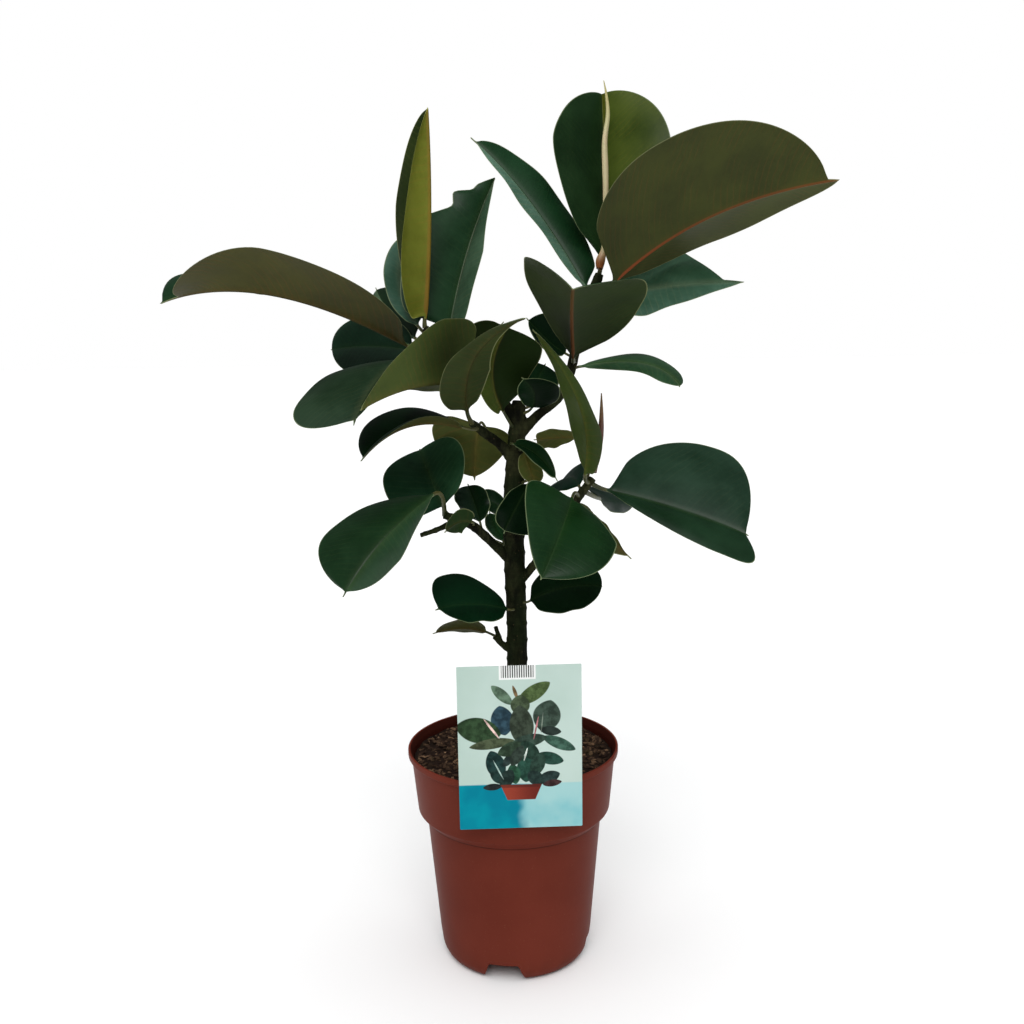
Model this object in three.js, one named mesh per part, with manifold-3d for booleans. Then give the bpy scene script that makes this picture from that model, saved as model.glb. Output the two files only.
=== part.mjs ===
// A potted rubber plant: nursery pot, soil, stem with branches, leaves, two buds and a picture label.
// Millimetres, +Z up. The origin is on the floor, on the pot's axis; -Y is the front.
import * as THREE from 'three';
import { mergeVertices } from 'three/addons/utils/BufferGeometryUtils.js';
import Module from 'manifold-3d';

const wasm = await Module();
wasm.setup();

// ---- driving dimensions ----
const RIM_RADIUS = 96;
const POT_HEIGHT = 198;
const POT_WALL = 1.6;
const LIP_HEIGHT = 6;
const COLLAR_TOP_RADIUS = 93;
const COLLAR_LOW_RADIUS = 88;
const BODY_TOP_RADIUS = 80;
const BODY_LOW_RADIUS = 70.4;
const BODY_LOW_Z = 24;
const STEP_LOW_Z = 133;
const STEP_HIGH_Z = 141;
const FOOT_RADIUS = 61;
const FLOOR_UNDERSIDE_Z = 17;
const FLOOR_TOP_Z = 18.6;
const NOTCH = { count: 4, bottomWidth: 39, topWidth: 25, turn: -0.17 };
const DRAIN = { radius: 6, ringRadius: 48 };
const SOIL_TOP_Z = 189;
const SOIL_CROWN = 3;
const LABEL = { width: 103, height: 142, thick: 0.6, bottomZ: 161, shiftX: 2, turn: 0.04 };
const TONGUE = { width: 18, drop: 9 };
const GAP = 0.35;
const STALK_RADIUS = 2.2;
const BLADE_THICK = 0.9;
const RIB_THICK = 2.2;

const COLOURS = {
  pot: 0x6b3023, soil: 0x2c1d14, stem: 0x453a2a, leaf: 0x24402f, young: 0x8a9440, sheath: 0xcfc3a0,
  bud: 0x5b3a30, label: 0xc4dfd0,
};

// ---- stem: each branch is a list of [x, y, z, radius] along its axis ----
const BRANCHES = {
  trunk: [[3, 0, 142, 9.2], [4, 0, 206, 9.2], [5, 0, 282, 9.1], [5, 0, 319, 9.1], [4, 0, 370, 9.2],
    [4, 0, 424, 9], [7, 0, 469, 8], [9, 0, 502, 6.8], [10, 0, 512, 5.4]],
  low: [[4, 0, 284, 4], [-8, -2, 293, 3], [-15, -4, 301, 2.4]],
  low_stub: [[-10, -3, 296, 2.6], [-14, -3, 310, 1.8]],
  left_low: [[4, 0, 368, 6], [-14, -6, 386, 4.2], [-31, -16, 404, 4], [-46, -24, 413, 3.6],
    [-57, -25, 416, 3]],
  twig: [[-45, -24, 412, 3], [-60, -27, 405, 2.4], [-77, -31, 400, 2]],
  mid: [[5, 0, 460, 6], [-7, -8, 475, 4.2], [-19, -16, 485, 4], [-31, -26, 496, 3.2]],
  left_top: [[8, 0, 490, 5.5], [-6, -8, 515, 4.6], [-31, -16, 537, 4.2], [-53, -17, 557, 4.2],
    [-69, -14, 576, 3.4]],
  right_mid: [[4, 0, 348, 6], [20, -8, 366, 3.6], [40, -20, 401, 3.6], [58, -27, 428, 3.8],
    [72, -29, 447, 3.4]],
  right_top: [[8, 0, 481, 6], [26, -2, 499, 4.2], [44, -4, 514, 4], [54, -8, 535, 4.2],
    [63, -8, 572, 4.4], [73, -8, 601, 4.6], [80, -8, 619, 3.8]],
};

// ---- leaves: where the stalk leaves its branch, the blade's base, the midrib half way along, the tip,
// and the left and right margin where the blade is widest. Optional: widest (share of the length),
// end (where the rounded blade passes into the drip tip), blunt and full (how round the tip end and
// the base end are), each as one number or as [left half, right half]; camber (how far each half
// arches), twist (degrees that the tip turns), torn (the ragged outer left part is missing).
const DEFAULT_SHAPE = { widest: 0.5, end: 0.94, blunt: 2.2, full: 2 };
const LEAVES = {
  left_top_1: { from: [-65, -17, 570], base: [-83, -26, 562], mid: [-193, -42, 606], tip: [-288, -30, 600],
    left: [-190, -92, 640], right: [-212, 10, 607], end: [0.89, 0.985], blunt: [2.6, 5], twist: -52 },
  left_top_2: { from: [-69, -14, 576], base: [-69, -14, 584], mid: [-63, -6, 670], tip: [-63, 2, 758],
    left: [-93, 14, 679], right: [-85, -30, 648], end: 0.99, blunt: 1.5, camber: 0.12 },
  left_top_3: { from: [-60, -16, 564], base: [-49, 6, 574], mid: [-33, 34, 641], tip: [-8, 62, 707],
    left: [-81, 24, 656], right: [-19, 6, 640], end: 1, blunt: [3, 1.1], full: 4, torn: true },
  left_top_4: { from: [-64, -15, 570], base: [-77, 8, 578], mid: [-93, 34, 616], tip: [-87, 66, 663],
    left: [-107, 28, 619], right: [-67, 40, 622] },
  left_top_5: { from: [-60, -16, 563], base: [-80, 14, 567], mid: [-106, 60, 590], tip: [-123, 105, 613],
    left: [-120, 62, 581], right: [-90, 70, 604], blunt: 1.8 },
  left_top_6: { from: [-56, -16, 560], base: [-80, 0, 556], mid: [-119, 28, 560], tip: [-160, 52, 557],
    left: [-124, 2, 537], right: [-123, 56, 587], end: 0.98, blunt: 2.8 },
  left_top_7: { from: [-56, -17, 560], base: [-84, -36, 550], mid: [-105, -74, 536], tip: [-119, -118, 504],
    left: [-92, -66, 538], right: [-169, -78, 518], widest: 0.55, blunt: 2.6 },
  left_top_8: { from: [-31, -16, 537], base: [-34, -34, 529], mid: [-74, -82, 531], tip: [-112, -132, 517],
    left: [-48, -96, 584], right: [-72, -30, 524], widest: 0.34, end: 0.99, blunt: 1.2, full: 4 },
  left_top_9: { from: [-24, -14, 531], base: [-25, -3, 535], mid: [-20, 6, 556], tip: [-2, 20, 580],
    left: [7, 16, 552], right: [-36, -4, 571], widest: 0.55, blunt: 2 },
  mid_1: { from: [-30, -26, 495], base: [-34, -40, 507], mid: [-25, -88, 555], tip: [15, -124, 584],
    left: [-13, -74, 543], right: [-52, -94, 538], widest: 0.34, end: [0.97, 0.995],
    blunt: [0.95, 1.7] },
  mid_2: { from: [6, 0, 486], base: [-4, -18, 505], mid: [-12, -40, 543], tip: [4, -62, 580],
    left: [29, -30, 552], right: [-26, -30, 534], widest: 0.55, blunt: [3, 2.4] },
  mid_3: { from: [-26, -22, 491], base: [-38, -44, 494], mid: [-83, -62, 497], tip: [-120, -78, 471],
    left: [-80, -96, 503], right: [-101, -20, 507], end: 0.96, blunt: 2.3 },
  mid_4: { from: [-17, -15, 484], base: [-25, 2, 491], mid: [-29, 8, 469], tip: [-30, 2, 442],
    left: [-68, 27, 486], right: [2, 12, 474], widest: [0.3, 0.42], blunt: [1.4, 1.6] },
  left_low_1: { from: [-48, -24, 413], base: [-57, -22, 423], mid: [-69, -4, 447], tip: [-80, 28, 468],
    left: [-106, -28, 437], right: [-40, -6, 472], end: 0.97, blunt: 2.5 },
  left_low_2: { from: [-56, -25, 416], base: [-64, -48, 438], mid: [-102, -92, 409], tip: [-133, -118, 368],
    left: [-90, -84, 390], right: [-152, -62, 410], widest: 0.55, end: 0.95, blunt: [3, 2.2],
    full: [1.2, 1.7] },
  left_low_3: { from: [-33, -17, 405], base: [-33, -26, 410], mid: [-44, -31, 411], tip: [-56, -36, 403],
    left: [-42, -38, 423], right: [-43, -20, 399] },
  left_low_4: { from: [-24, -12, 397], base: [-26, -4, 406], mid: [-31, 10, 421], tip: [-37, 24, 436],
    left: [-48, 6, 424], right: [-18, 6, 427], blunt: 2.4 },
  left_low_5: { from: [-8, -4, 380], base: [-1, 14, 410], mid: [-15, 40, 416], tip: [-28, 64, 416],
    left: [-17, 34, 408], right: [-14, 48, 426], blunt: 3 },
  left_low_6: { from: [-21, -10, 394], base: [-6, 4, 387], mid: [-13, 16, 397], tip: [-18, 26, 410],
    left: [-21, 14, 398], right: [-5, 14, 401] },
  trunk_1: { from: [9, 0, 505], base: [22, 4, 510], mid: [27, 22, 527], tip: [35, 40, 542],
    left: [4, 14, 536], right: [45, 14, 523], blunt: 3 },
  trunk_2: { from: [9, 0, 500], base: [21, -13, 507], mid: [22, -34, 522], tip: [12, -52, 535],
    left: [9, -34, 519], right: [45, -26, 521] },
  trunk_3: { from: [7, 0, 474], base: [5, -16, 476], mid: [25, -34, 468], tip: [41, -50, 448],
    left: [26, -26, 477], right: [20, -42, 465], widest: 0.45, blunt: [1.6, 2.2] },
  trunk_4: { from: [6, 0, 460], base: [14, -15, 469], mid: [18, -20, 456], tip: [23, -22, 440],
    left: [9, -18, 453], right: [29, -24, 455] },
  trunk_5: { from: [5, 0, 437], base: [18, -22, 442], mid: [6, -48, 426], tip: [-5, -66, 407],
    left: [24, -52, 410], right: [-9, -50, 427], widest: 0.6, blunt: 3 },
  trunk_6: { from: [5, 0, 334], base: [17, -7, 334], mid: [49, 0, 344], tip: [83, 6, 343],
    left: [51, 28, 361], right: [52, -30, 330], end: 0.99, blunt: 3 },
  trunk_7: { from: [5, 0, 327], base: [-3, -12, 328], mid: [-36, -12, 333], tip: [-67, -18, 330],
    left: [-35, -38, 324], right: [-55, 26, 353], widest: 0.6, blunt: 2.6, full: [2.4, 1.4] },
  low_1: { from: [-13, -3, 300], base: [-22, -7, 306], mid: [-44, -10, 311], tip: [-70, -16, 308],
    left: [-44, -34, 326], right: [-45, 12, 301], blunt: 1.8 },
  right_mid_1: { from: [69, -29, 443], base: [65, -40, 452], mid: [60, -58, 512], tip: [21, -72, 575],
    left: [74, -84, 494], right: [50, -22, 505], widest: 0.42, end: 0.98, blunt: 1.4, full: 1.6 },
  right_mid_2: { from: [70, -29, 443], base: [84, -32, 437], mid: [143, -52, 422], tip: [198, -70, 403],
    left: [173, 2, 470], right: [166, -92, 394], end: 0.97, blunt: 3.2, full: [2, 1.5] },
  right_mid_3: { from: [60, -28, 431], base: [52, -66, 436], mid: [39, -116, 414], tip: [23, -146, 386],
    left: [85, -112, 406], right: [14, -98, 453], widest: [0.45, 0.2], end: 0.97,
    blunt: [3, 1.3], full: [1.2, 2] },
  right_mid_4: { from: [64, -28, 436], base: [80, 4, 424], mid: [102, 74, 410], tip: [128, 146, 396],
    left: [80, 66, 424], right: [104, 66, 399] },
  right_mid_5: { from: [60, -28, 431], base: [62, 0, 436], mid: [57, 46, 437], tip: [50, 96, 425],
    left: [36, 40, 426], right: [72, 52, 452], blunt: 2.6 },
  right_mid_6: { from: [56, -26, 425], base: [69, -38, 420], mid: [81, -56, 404], tip: [101, -68, 384],
    left: [67, -64, 398], right: [88, -44, 402], blunt: 1.2 },
  right_mid_7: { from: [66, -28, 440], base: [61, 2, 479], mid: [45, -6, 480], tip: [22, -12, 479],
    left: [36, -14, 488], right: [36, 6, 469], widest: 0.55 },
  right_top_1: { from: [71, -8, 594], base: [69, -2, 607], mid: [22, 34, 684], tip: [-29, 62, 742],
    left: [14, 16, 680], right: [39, 50, 700], end: 0.95, blunt: [1.5, 1.7], full: [2, 3.4] },
  right_top_2: { from: [78, -8, 615], base: [83, 10, 632], mid: [88, 44, 710], tip: [88, 64, 777],
    left: [43, 18, 735], right: [144, 22, 728], widest: 0.46, end: 1, blunt: [1.5, 1.7] },
  right_top_3: { from: [76, -8, 609], base: [90, -20, 611], mid: [179, 5, 667], tip: [292, 30, 697],
    left: [193, 44, 649], right: [131, -52, 722], widest: 0.4, end: [0.995, 0.952], blunt: [1.35, 2],
    full: [2, 2.6] },
  right_top_4: { from: [73, -8, 601], base: [93, 2, 600], mid: [145, 14, 608], tip: [210, 26, 611],
    left: [143, 56, 648], right: [119, -16, 584], widest: [0.42, 0.34], end: [0.88, 0.99],
    blunt: [1.1, 1.25] },
  right_top_5: { from: [57, -8, 546], base: [56, -28, 550], mid: [52, -78, 583], tip: [50, -134, 605],
    left: [110, -92, 603], right: [14, -92, 624], widest: 0.55, end: 0.98, blunt: 2.6, full: [2.2, 1.8] },
  right_top_6: { from: [55, -8, 538], base: [62, -10, 541], mid: [117, -16, 543], tip: [147, -24, 523],
    left: [131, 10, 547], right: [117, -34, 534], widest: 0.55, end: 0.98, blunt: 2.6, full: 1.6 },
  right_top_7: { from: [62, -8, 567], base: [74, 2, 567], mid: [96, 24, 583], tip: [122, 38, 602],
    left: [86, 44, 600], right: [98, 4, 580] },
  right_top_8: { from: [57, -8, 549], base: [51, 2, 552], mid: [35, 18, 564], tip: [18, 36, 583],
    left: [31, 10, 557], right: [48, 24, 582] },
};

// the torn leaf's outer edge: [share of the length, share of the left half that is left]
const TEAR = [[0, 1], [0.6, 1], [0.65, 0.81], [0.73, 0.52], [0.75, 0.5], [0.81, 0.57], [0.83, 0.55],
  [0.855, 0.4], [0.875, 0.28], [0.92, 0.23], [0.96, 0.12], [1, 0]];
const YOUNG_LEAF = 'left_top_2';

// the cream sheath and the small bud: [x, y, z, radius] from the root to the point
const SHEATH = [[80, -7, 623, 3], [81, -5, 630, 4.2], [84, -3, 640, 2.6], [85, -2, 660, 2.2],
  [86, 2, 690, 2.6], [86, 6, 709, 2.9], [86, 10, 730, 2.5], [89, 14, 751, 2], [88, 17, 768, 1.3],
  [86, 19, 780, 0.5]];
const BUD = [[73, -29, 452, 2.4], [78, -33, 480, 2.6], [79, -35, 500, 1.9], [79, -36, 520, 0.5]];

// ---- solids ----
function toSolid(geometry) {
  const bare = geometry.index ? geometry.toNonIndexed() : geometry.clone();
  bare.deleteAttribute('normal');
  bare.deleteAttribute('uv');
  const merged = mergeVertices(bare, 1e-4);
  return new wasm.Manifold(new wasm.Mesh({
    numProp: 3,
    vertProperties: new Float32Array(merged.attributes.position.array),
    triVerts: new Uint32Array(merged.index.array),
  }));
}

function toGeometry(solid) {
  const mesh = solid.getMesh();
  const geometry = new THREE.BufferGeometry();
  geometry.setAttribute('position', new THREE.BufferAttribute(new Float32Array(mesh.vertProperties), 3));
  geometry.setIndex(new THREE.BufferAttribute(new Uint32Array(mesh.triVerts), 1));
  return geometry;
}

function largestPiece(solid) {
  return solid.decompose().reduce((best, piece) => (piece.volume() > best.volume() ? piece : best));
}

// a closed skin over rings of points; both ends close on a point
function loft(rings, start, end) {
  const count = rings[0].length;
  const points = [start, ...rings.flat(), end];
  const last = points.length - 1;
  const faces = [];
  for (let i = 0; i < count; i += 1) {
    const j = (i + 1) % count;
    faces.push([0, 1 + j, 1 + i]);
    faces.push([last, last - count + i, last - count + j]);
    for (let r = 0; r < rings.length - 1; r += 1) {
      const low = 1 + r * count;
      const high = low + count;
      faces.push([low + i, low + j, high + j], [low + i, high + j, high + i]);
    }
  }
  const geometry = new THREE.BufferGeometry().setFromPoints(points);
  geometry.setIndex(faces.flat());
  return geometry;
}

// a round tapered tube through [x, y, z, radius] points, grown outwards by `grow`
function taperedTube(points, sides, steps, grow = 0) {
  const curve = new THREE.CatmullRomCurve3(points.map(([x, y, z]) => new THREE.Vector3(x, y, z)));
  const frames = curve.computeFrenetFrames(steps, false);
  const centres = [];
  const rings = [];
  for (let s = 0; s <= steps; s += 1) {
    const centre = curve.getPointAt(s / steps);
    const along = curve.getUtoTmapping(s / steps) * (points.length - 1);
    const k = Math.min(Math.floor(along), points.length - 2);
    const radius = THREE.MathUtils.lerp(points[k][3], points[k + 1][3], along - k) + grow;
    const ring = [];
    for (let i = 0; i < sides; i += 1) {
      const angle = (2 * Math.PI * i) / sides;
      ring.push(centre.clone()
        .addScaledVector(frames.normals[s], radius * Math.cos(angle))
        .addScaledVector(frames.binormals[s], radius * Math.sin(angle)));
    }
    centres.push(centre);
    rings.push(ring);
  }
  return loft(rings, centres[0], centres[steps]);
}

function stemSolid(grow) {
  const tubes = Object.entries(BRANCHES).map(([name, points]) => {
    const sides = name === 'trunk' ? 12 : 8;
    return toSolid(taperedTube(points, sides, Math.round(1.6 * points.length), grow));
  });
  return tubes.reduce((sum, tube) => sum.add(tube));
}

// ---- leaf ----
// a shape number of one half: 0 is the left half, 1 the right; one number serves both halves
function shapeOf(leaf, key, side) {
  const value = leaf[key] ?? DEFAULT_SHAPE[key];
  return Array.isArray(value) ? value[side] : value;
}

function marginShare(t, leaf, side) {
  const keys = ['widest', 'end', 'blunt', 'full'];
  const [widest, end, blunt, full] = keys.map((key) => shapeOf(leaf, key, side));
  const drip = t > 0.8 ? 0.055 * Math.min(1, (1 - t) / 0.12) ** 0.8 : 0;
  if (t < widest) {
    return (1 - ((widest - t) / widest) ** full) ** (1 / full);
  }
  const s = Math.min(1, (t - widest) / (end - widest));
  return Math.max(drip, (1 - s ** blunt) ** Math.max(0.62, 1 / blunt));
}

function tearShare(t) {
  const k = TEAR.findIndex(([at]) => at >= t);
  if (k < 1) return 1;
  const [t0, s0] = TEAR[k - 1];
  const [t1, s1] = TEAR[k];
  return THREE.MathUtils.lerp(s0, s1, (t - t0) / (t1 - t0));
}

function leafSolid(leaf, blade = 9) {
  const point = (p) => new THREE.Vector3(...p);
  const base = point(leaf.base);
  const tip = point(leaf.tip);
  const control = point(leaf.mid).multiplyScalar(2).addScaledVector(base, -0.5).addScaledVector(tip, -0.5);
  const rib = new THREE.QuadraticBezierCurve3(base, control, tip);
  const { camber = 0.05, twist = 0 } = leaf;
  const halves = [leaf.left, leaf.right].map((margin, side) => {
    const widest = shapeOf(leaf, 'widest', side);
    return { widest, forward: rib.getTangent(widest), reach: point(margin).sub(rib.getPoint(widest)) };
  });

  // one section of 8 points: margin, half and rib on top, then back underneath
  const section = (t, leftShare, rightShare, ribThick) => {
    const at = rib.getPoint(t);
    const tangent = rib.getTangent(t);
    const [left, right] = halves.map(({ widest, forward, reach }) => {
      const swing = THREE.MathUtils.degToRad(twist) * (Math.max(0, t - widest) / (1 - widest)) ** 1.5;
      return reach.clone()
        .applyQuaternion(new THREE.Quaternion().setFromUnitVectors(forward, tangent))
        .applyAxisAngle(tangent, swing);
    });
    const upLeft = tangent.clone().cross(left).normalize();
    const upRight = right.clone().cross(tangent).normalize();
    const up = upLeft.clone().add(upRight).normalize();
    const side = (way, share, normal, reach, height) => {
      const span = Math.max(share * way.length(), 1);
      const arch = camber * span * 4 * reach * (1 - reach);
      return at.clone().addScaledVector(way.clone().normalize(), span * reach)
        .addScaledVector(normal, arch + height);
    };
    return [
      side(left, leftShare, upLeft, 1, 0),
      side(left, leftShare, upLeft, 0.55, BLADE_THICK / 2),
      at.clone().addScaledVector(up, BLADE_THICK / 2),
      side(right, rightShare, upRight, 0.55, BLADE_THICK / 2),
      side(right, rightShare, upRight, 1, 0),
      side(right, rightShare, upRight, 0.55, -BLADE_THICK / 2),
      at.clone().addScaledVector(up, -ribThick),
      side(left, leftShare, upLeft, 0.55, -BLADE_THICK / 2),
    ];
  };

  const rings = [];
  for (let i = 0; i < blade; i += 1) {
    const t = (i / blade) ** 0.85 * 0.97 + 0.005;
    const whole = marginShare(t, leaf, 0);
    const leftShare = leaf.torn ? Math.min(whole, tearShare(t)) : whole;
    const rightShare = marginShare(t, leaf, 1);
    const ribThick = THREE.MathUtils.lerp(RIB_THICK, BLADE_THICK, t);
    rings.push(section(t, leftShare, rightShare, ribThick));
  }
  const end = rib.getPoint(0.05);
  const way = end.clone().sub(point(leaf.from)).multiplyScalar(0.5);
  const bend = end.clone().sub(way).addScaledVector(rib.getTangent(0), -0.15 * way.length());
  const stalk = [leaf.from, bend.toArray(), end.toArray()].map((p, i) => [...p, STALK_RADIUS - 0.3 * i]);
  return toSolid(loft(rings, base, tip)).add(toSolid(taperedTube(stalk, 6, 3)));
}

// ---- pot, soil and label ----
const LIP_Z = POT_HEIGHT - LIP_HEIGHT;
const LIP_EDGE = 0.8;
const OUTER_WALL = [[FOOT_RADIUS, 0], [65.5, 3], [68.5, 9], [BODY_LOW_RADIUS, BODY_LOW_Z],
  [BODY_TOP_RADIUS, STEP_LOW_Z], [COLLAR_LOW_RADIUS, STEP_HIGH_Z], [COLLAR_TOP_RADIUS, LIP_Z - 0.5],
  [RIM_RADIUS, LIP_Z], [RIM_RADIUS, POT_HEIGHT - LIP_EDGE], [RIM_RADIUS - LIP_EDGE, POT_HEIGHT]];
const INNER_WALL = [[RIM_RADIUS - 2, POT_HEIGHT], [COLLAR_TOP_RADIUS - POT_WALL, LIP_Z],
  [COLLAR_LOW_RADIUS - POT_WALL, STEP_HIGH_Z + 0.6], [BODY_TOP_RADIUS - POT_WALL, STEP_LOW_Z + 0.6],
  [BODY_LOW_RADIUS - POT_WALL, BODY_LOW_Z], [67.6, FLOOR_TOP_Z], [0, FLOOR_TOP_Z]];
const UNDERSIDE = [[0, FLOOR_UNDERSIDE_Z], [67.4, FLOOR_UNDERSIDE_Z], [66.8, 9.4], [63.8, 3.6],
  [FOOT_RADIUS - 2.4, 0]];

function turned(profile, segments) {
  const geometry = new THREE.LatheGeometry(profile.map(([r, z]) => new THREE.Vector2(r, z)), segments);
  return geometry.rotateX(Math.PI / 2);
}

function potSolid() {
  const profile = [...OUTER_WALL, ...INNER_WALL, ...UNDERSIDE, OUTER_WALL[0]];
  let pot = toSolid(turned(profile, 44));
  const mouth = new THREE.Shape([[-NOTCH.bottomWidth / 2, -1], [NOTCH.bottomWidth / 2, -1],
    [NOTCH.topWidth / 2, FLOOR_UNDERSIDE_Z], [-NOTCH.topWidth / 2, FLOOR_UNDERSIDE_Z]]
    .map(([x, z]) => new THREE.Vector2(x, z)));
  for (let i = 0; i < NOTCH.count; i += 1) {
    const turn = (2 * Math.PI * i) / NOTCH.count + NOTCH.turn;
    const cut = new THREE.ExtrudeGeometry(mouth, { depth: 30, bevelEnabled: false });
    cut.rotateX(Math.PI / 2).translate(0, -48, 0).rotateZ(turn);
    pot = pot.subtract(toSolid(cut));
    const drain = new THREE.CylinderGeometry(DRAIN.radius, DRAIN.radius, 8, 12);
    drain.rotateX(Math.PI / 2).translate(0, -DRAIN.ringRadius, (FLOOR_TOP_Z + FLOOR_UNDERSIDE_Z) / 2);
    drain.rotateZ(turn + Math.PI / NOTCH.count);
    pot = pot.subtract(toSolid(drain));
  }
  return pot;
}

function soilSolid(stemRoom) {
  const clear = POT_WALL + 0.5;
  const wallAt = (z) => THREE.MathUtils.mapLinear(
    z, STEP_HIGH_Z, LIP_Z, COLLAR_LOW_RADIUS - clear, COLLAR_TOP_RADIUS - clear) - 0.1;
  const top = SOIL_TOP_Z;
  const profile = [[0, FLOOR_TOP_Z + GAP], [67, FLOOR_TOP_Z + GAP], [BODY_LOW_RADIUS - clear, BODY_LOW_Z],
    [BODY_TOP_RADIUS - clear, STEP_LOW_Z + 0.4], [COLLAR_LOW_RADIUS - clear, STEP_HIGH_Z + 0.8],
    [wallAt(top), top - 3], [78, top - 1], [45, top + 1.5], [20, top + SOIL_CROWN - 0.5],
    [0, top + SOIL_CROWN]];
  return toSolid(turned(profile, 32)).subtract(stemRoom);
}

function labelSolid() {
  const { width, height, thick, bottomZ, shiftX } = LABEL;
  const front = -(RIM_RADIUS + 0.6 + thick);
  const inside = -(COLLAR_TOP_RADIUS - POT_WALL - 2.3);
  const bridgeLow = POT_HEIGHT + 0.5;
  const bridgeTop = bridgeLow + thick;
  // a box between two corners
  const box = ([x0, y0, z0], [x1, y1, z1]) => toSolid(new THREE.BoxGeometry(x1 - x0, y1 - y0, z1 - z0)
    .translate((x0 + x1) / 2, (y0 + y1) / 2, (z0 + z1) / 2));
  const side = TONGUE.width / 2;
  const left = shiftX - width / 2;
  const card = box([left, front, bottomZ], [left + width, front + thick, bottomZ + height]);
  const bridge = box([-side, front + thick / 2, bridgeLow], [side, inside, bridgeTop]);
  const leg = box([-side, inside - thick, bridgeTop - TONGUE.drop], [side, inside, bridgeTop]);
  return card.add(bridge).add(leg);
}

// ---- assembly ----
const plant = new THREE.Group();

function place(name, solid, colour, roughness) {
  const material = new THREE.MeshStandardMaterial({ color: colour, roughness, metalness: 0 });
  const mesh = new THREE.Mesh(toGeometry(solid), material);
  mesh.name = name;
  plant.add(mesh);
  return mesh;
}

const stem = stemSolid(0);
const stemRoom = stemSolid(GAP);
place('pot', potSolid(), COLOURS.pot, 0.55);
place('soil', soilSolid(stemRoom), COLOURS.soil, 0.95);
place('stem', stem, COLOURS.stem, 0.8);
for (const [name, leaf] of Object.entries(LEAVES)) {
  const colour = name === YOUNG_LEAF ? COLOURS.young : COLOURS.leaf;
  place(`leaf_${name}`, largestPiece(leafSolid(leaf).subtract(stemRoom)), colour, 0.35);
}
place('sheath', largestPiece(toSolid(taperedTube(SHEATH, 8, 16)).subtract(stemRoom)), COLOURS.sheath, 0.5);
place('bud', largestPiece(toSolid(taperedTube(BUD, 8, 8)).subtract(stemRoom)), COLOURS.bud, 0.5);
place('label', labelSolid(), COLOURS.label, 0.4).rotation.z = LABEL.turn;

export default plant;
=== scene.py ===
"""A potted rubber plant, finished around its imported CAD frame.

Lengths are in millimetres until a mesh is made, and a material's are in metres.
"""
import math
import random

import bmesh
import bpy
from mathutils import Matrix, Quaternion, Vector, noise

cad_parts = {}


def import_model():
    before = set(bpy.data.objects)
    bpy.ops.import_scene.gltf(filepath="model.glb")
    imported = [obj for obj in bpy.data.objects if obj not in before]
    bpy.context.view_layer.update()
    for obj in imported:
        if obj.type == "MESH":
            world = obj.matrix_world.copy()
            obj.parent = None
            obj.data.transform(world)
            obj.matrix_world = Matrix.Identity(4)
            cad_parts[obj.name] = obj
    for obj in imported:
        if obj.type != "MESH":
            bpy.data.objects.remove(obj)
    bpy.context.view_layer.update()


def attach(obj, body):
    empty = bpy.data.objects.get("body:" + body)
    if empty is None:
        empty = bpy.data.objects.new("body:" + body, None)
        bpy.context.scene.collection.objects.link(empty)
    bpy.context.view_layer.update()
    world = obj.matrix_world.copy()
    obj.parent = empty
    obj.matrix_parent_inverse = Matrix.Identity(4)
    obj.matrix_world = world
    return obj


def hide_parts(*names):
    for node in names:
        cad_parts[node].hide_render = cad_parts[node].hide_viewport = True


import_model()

MM = 0.001
DRAWS = random.Random(11)

# ---- driving dimensions, as in the CAD model ----
RIM_RADIUS = 96
POT_HEIGHT = 198
POT_WALL = 1.6
LIP_Z = POT_HEIGHT - 6
COLLAR_TOP_RADIUS = 93
COLLAR_LOW_RADIUS = 88
BODY_TOP_RADIUS = 80
BODY_LOW_RADIUS = 70.4
BODY_LOW_Z = 24
STEP_LOW_Z = 133
STEP_HIGH_Z = 141
FOOT_RADIUS = 61
FLOOR_UNDERSIDE_Z = 17
FLOOR_TOP_Z = 18.6
NOTCH_COUNT = 4
NOTCH_WIDTHS = (39, 25)
NOTCH_TURN = -0.17
DRAIN_RADIUS = 6
DRAIN_RING = 48
DRAIN_SIDES = 24
SOIL_TOP_Z = 189
SOIL_CROWN = 3
LABEL_WIDTH = 103
LABEL_HEIGHT = 142
LABEL_THICK = 0.6
LABEL_BOTTOM_Z = 161
LABEL_SHIFT_X = 2
LABEL_TURN = 0.04
TONGUE_WIDTH = 18
TONGUE_DROP = 9
CARD_CORNER = 0.8
CARD_BEVEL = 0.12
STALK_RADIUS = 2.2
BLADE_THICK = 0.9
RIB_THICK = 2.2
SOIL_REACH = 90.4
STEM_VOXEL = 0.75
CHIP_COUNT = 2400
CHIP_REACH = 89.4
CHIP_SIZES = (1.1, 1.5, 1.9, 2.4, 3.2)
CHIP_SHAPE = ((0.9, 1.7), (0.5, 0.9), (0.25, 0.5))
CHIP_TILTS = (("X", 0.35), ("Y", 0.3))
TRUNK_X = 4
TRUNK_CLEAR = 10.5

# ---- studio ----
FLOOR_HALF = 12
CAMERA_BACK = 1.0
CAMERA_HEIGHT = 0.59
CAMERA_PITCH = 10
CAMERA_ROLL = -0.94
CAMERA_SHIFT = 0.0027
SENSOR_WIDTH = 36
FOCAL_IN_WIDTHS = 1146 / 1024
ROOM_GLOW = 0.12

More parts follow.
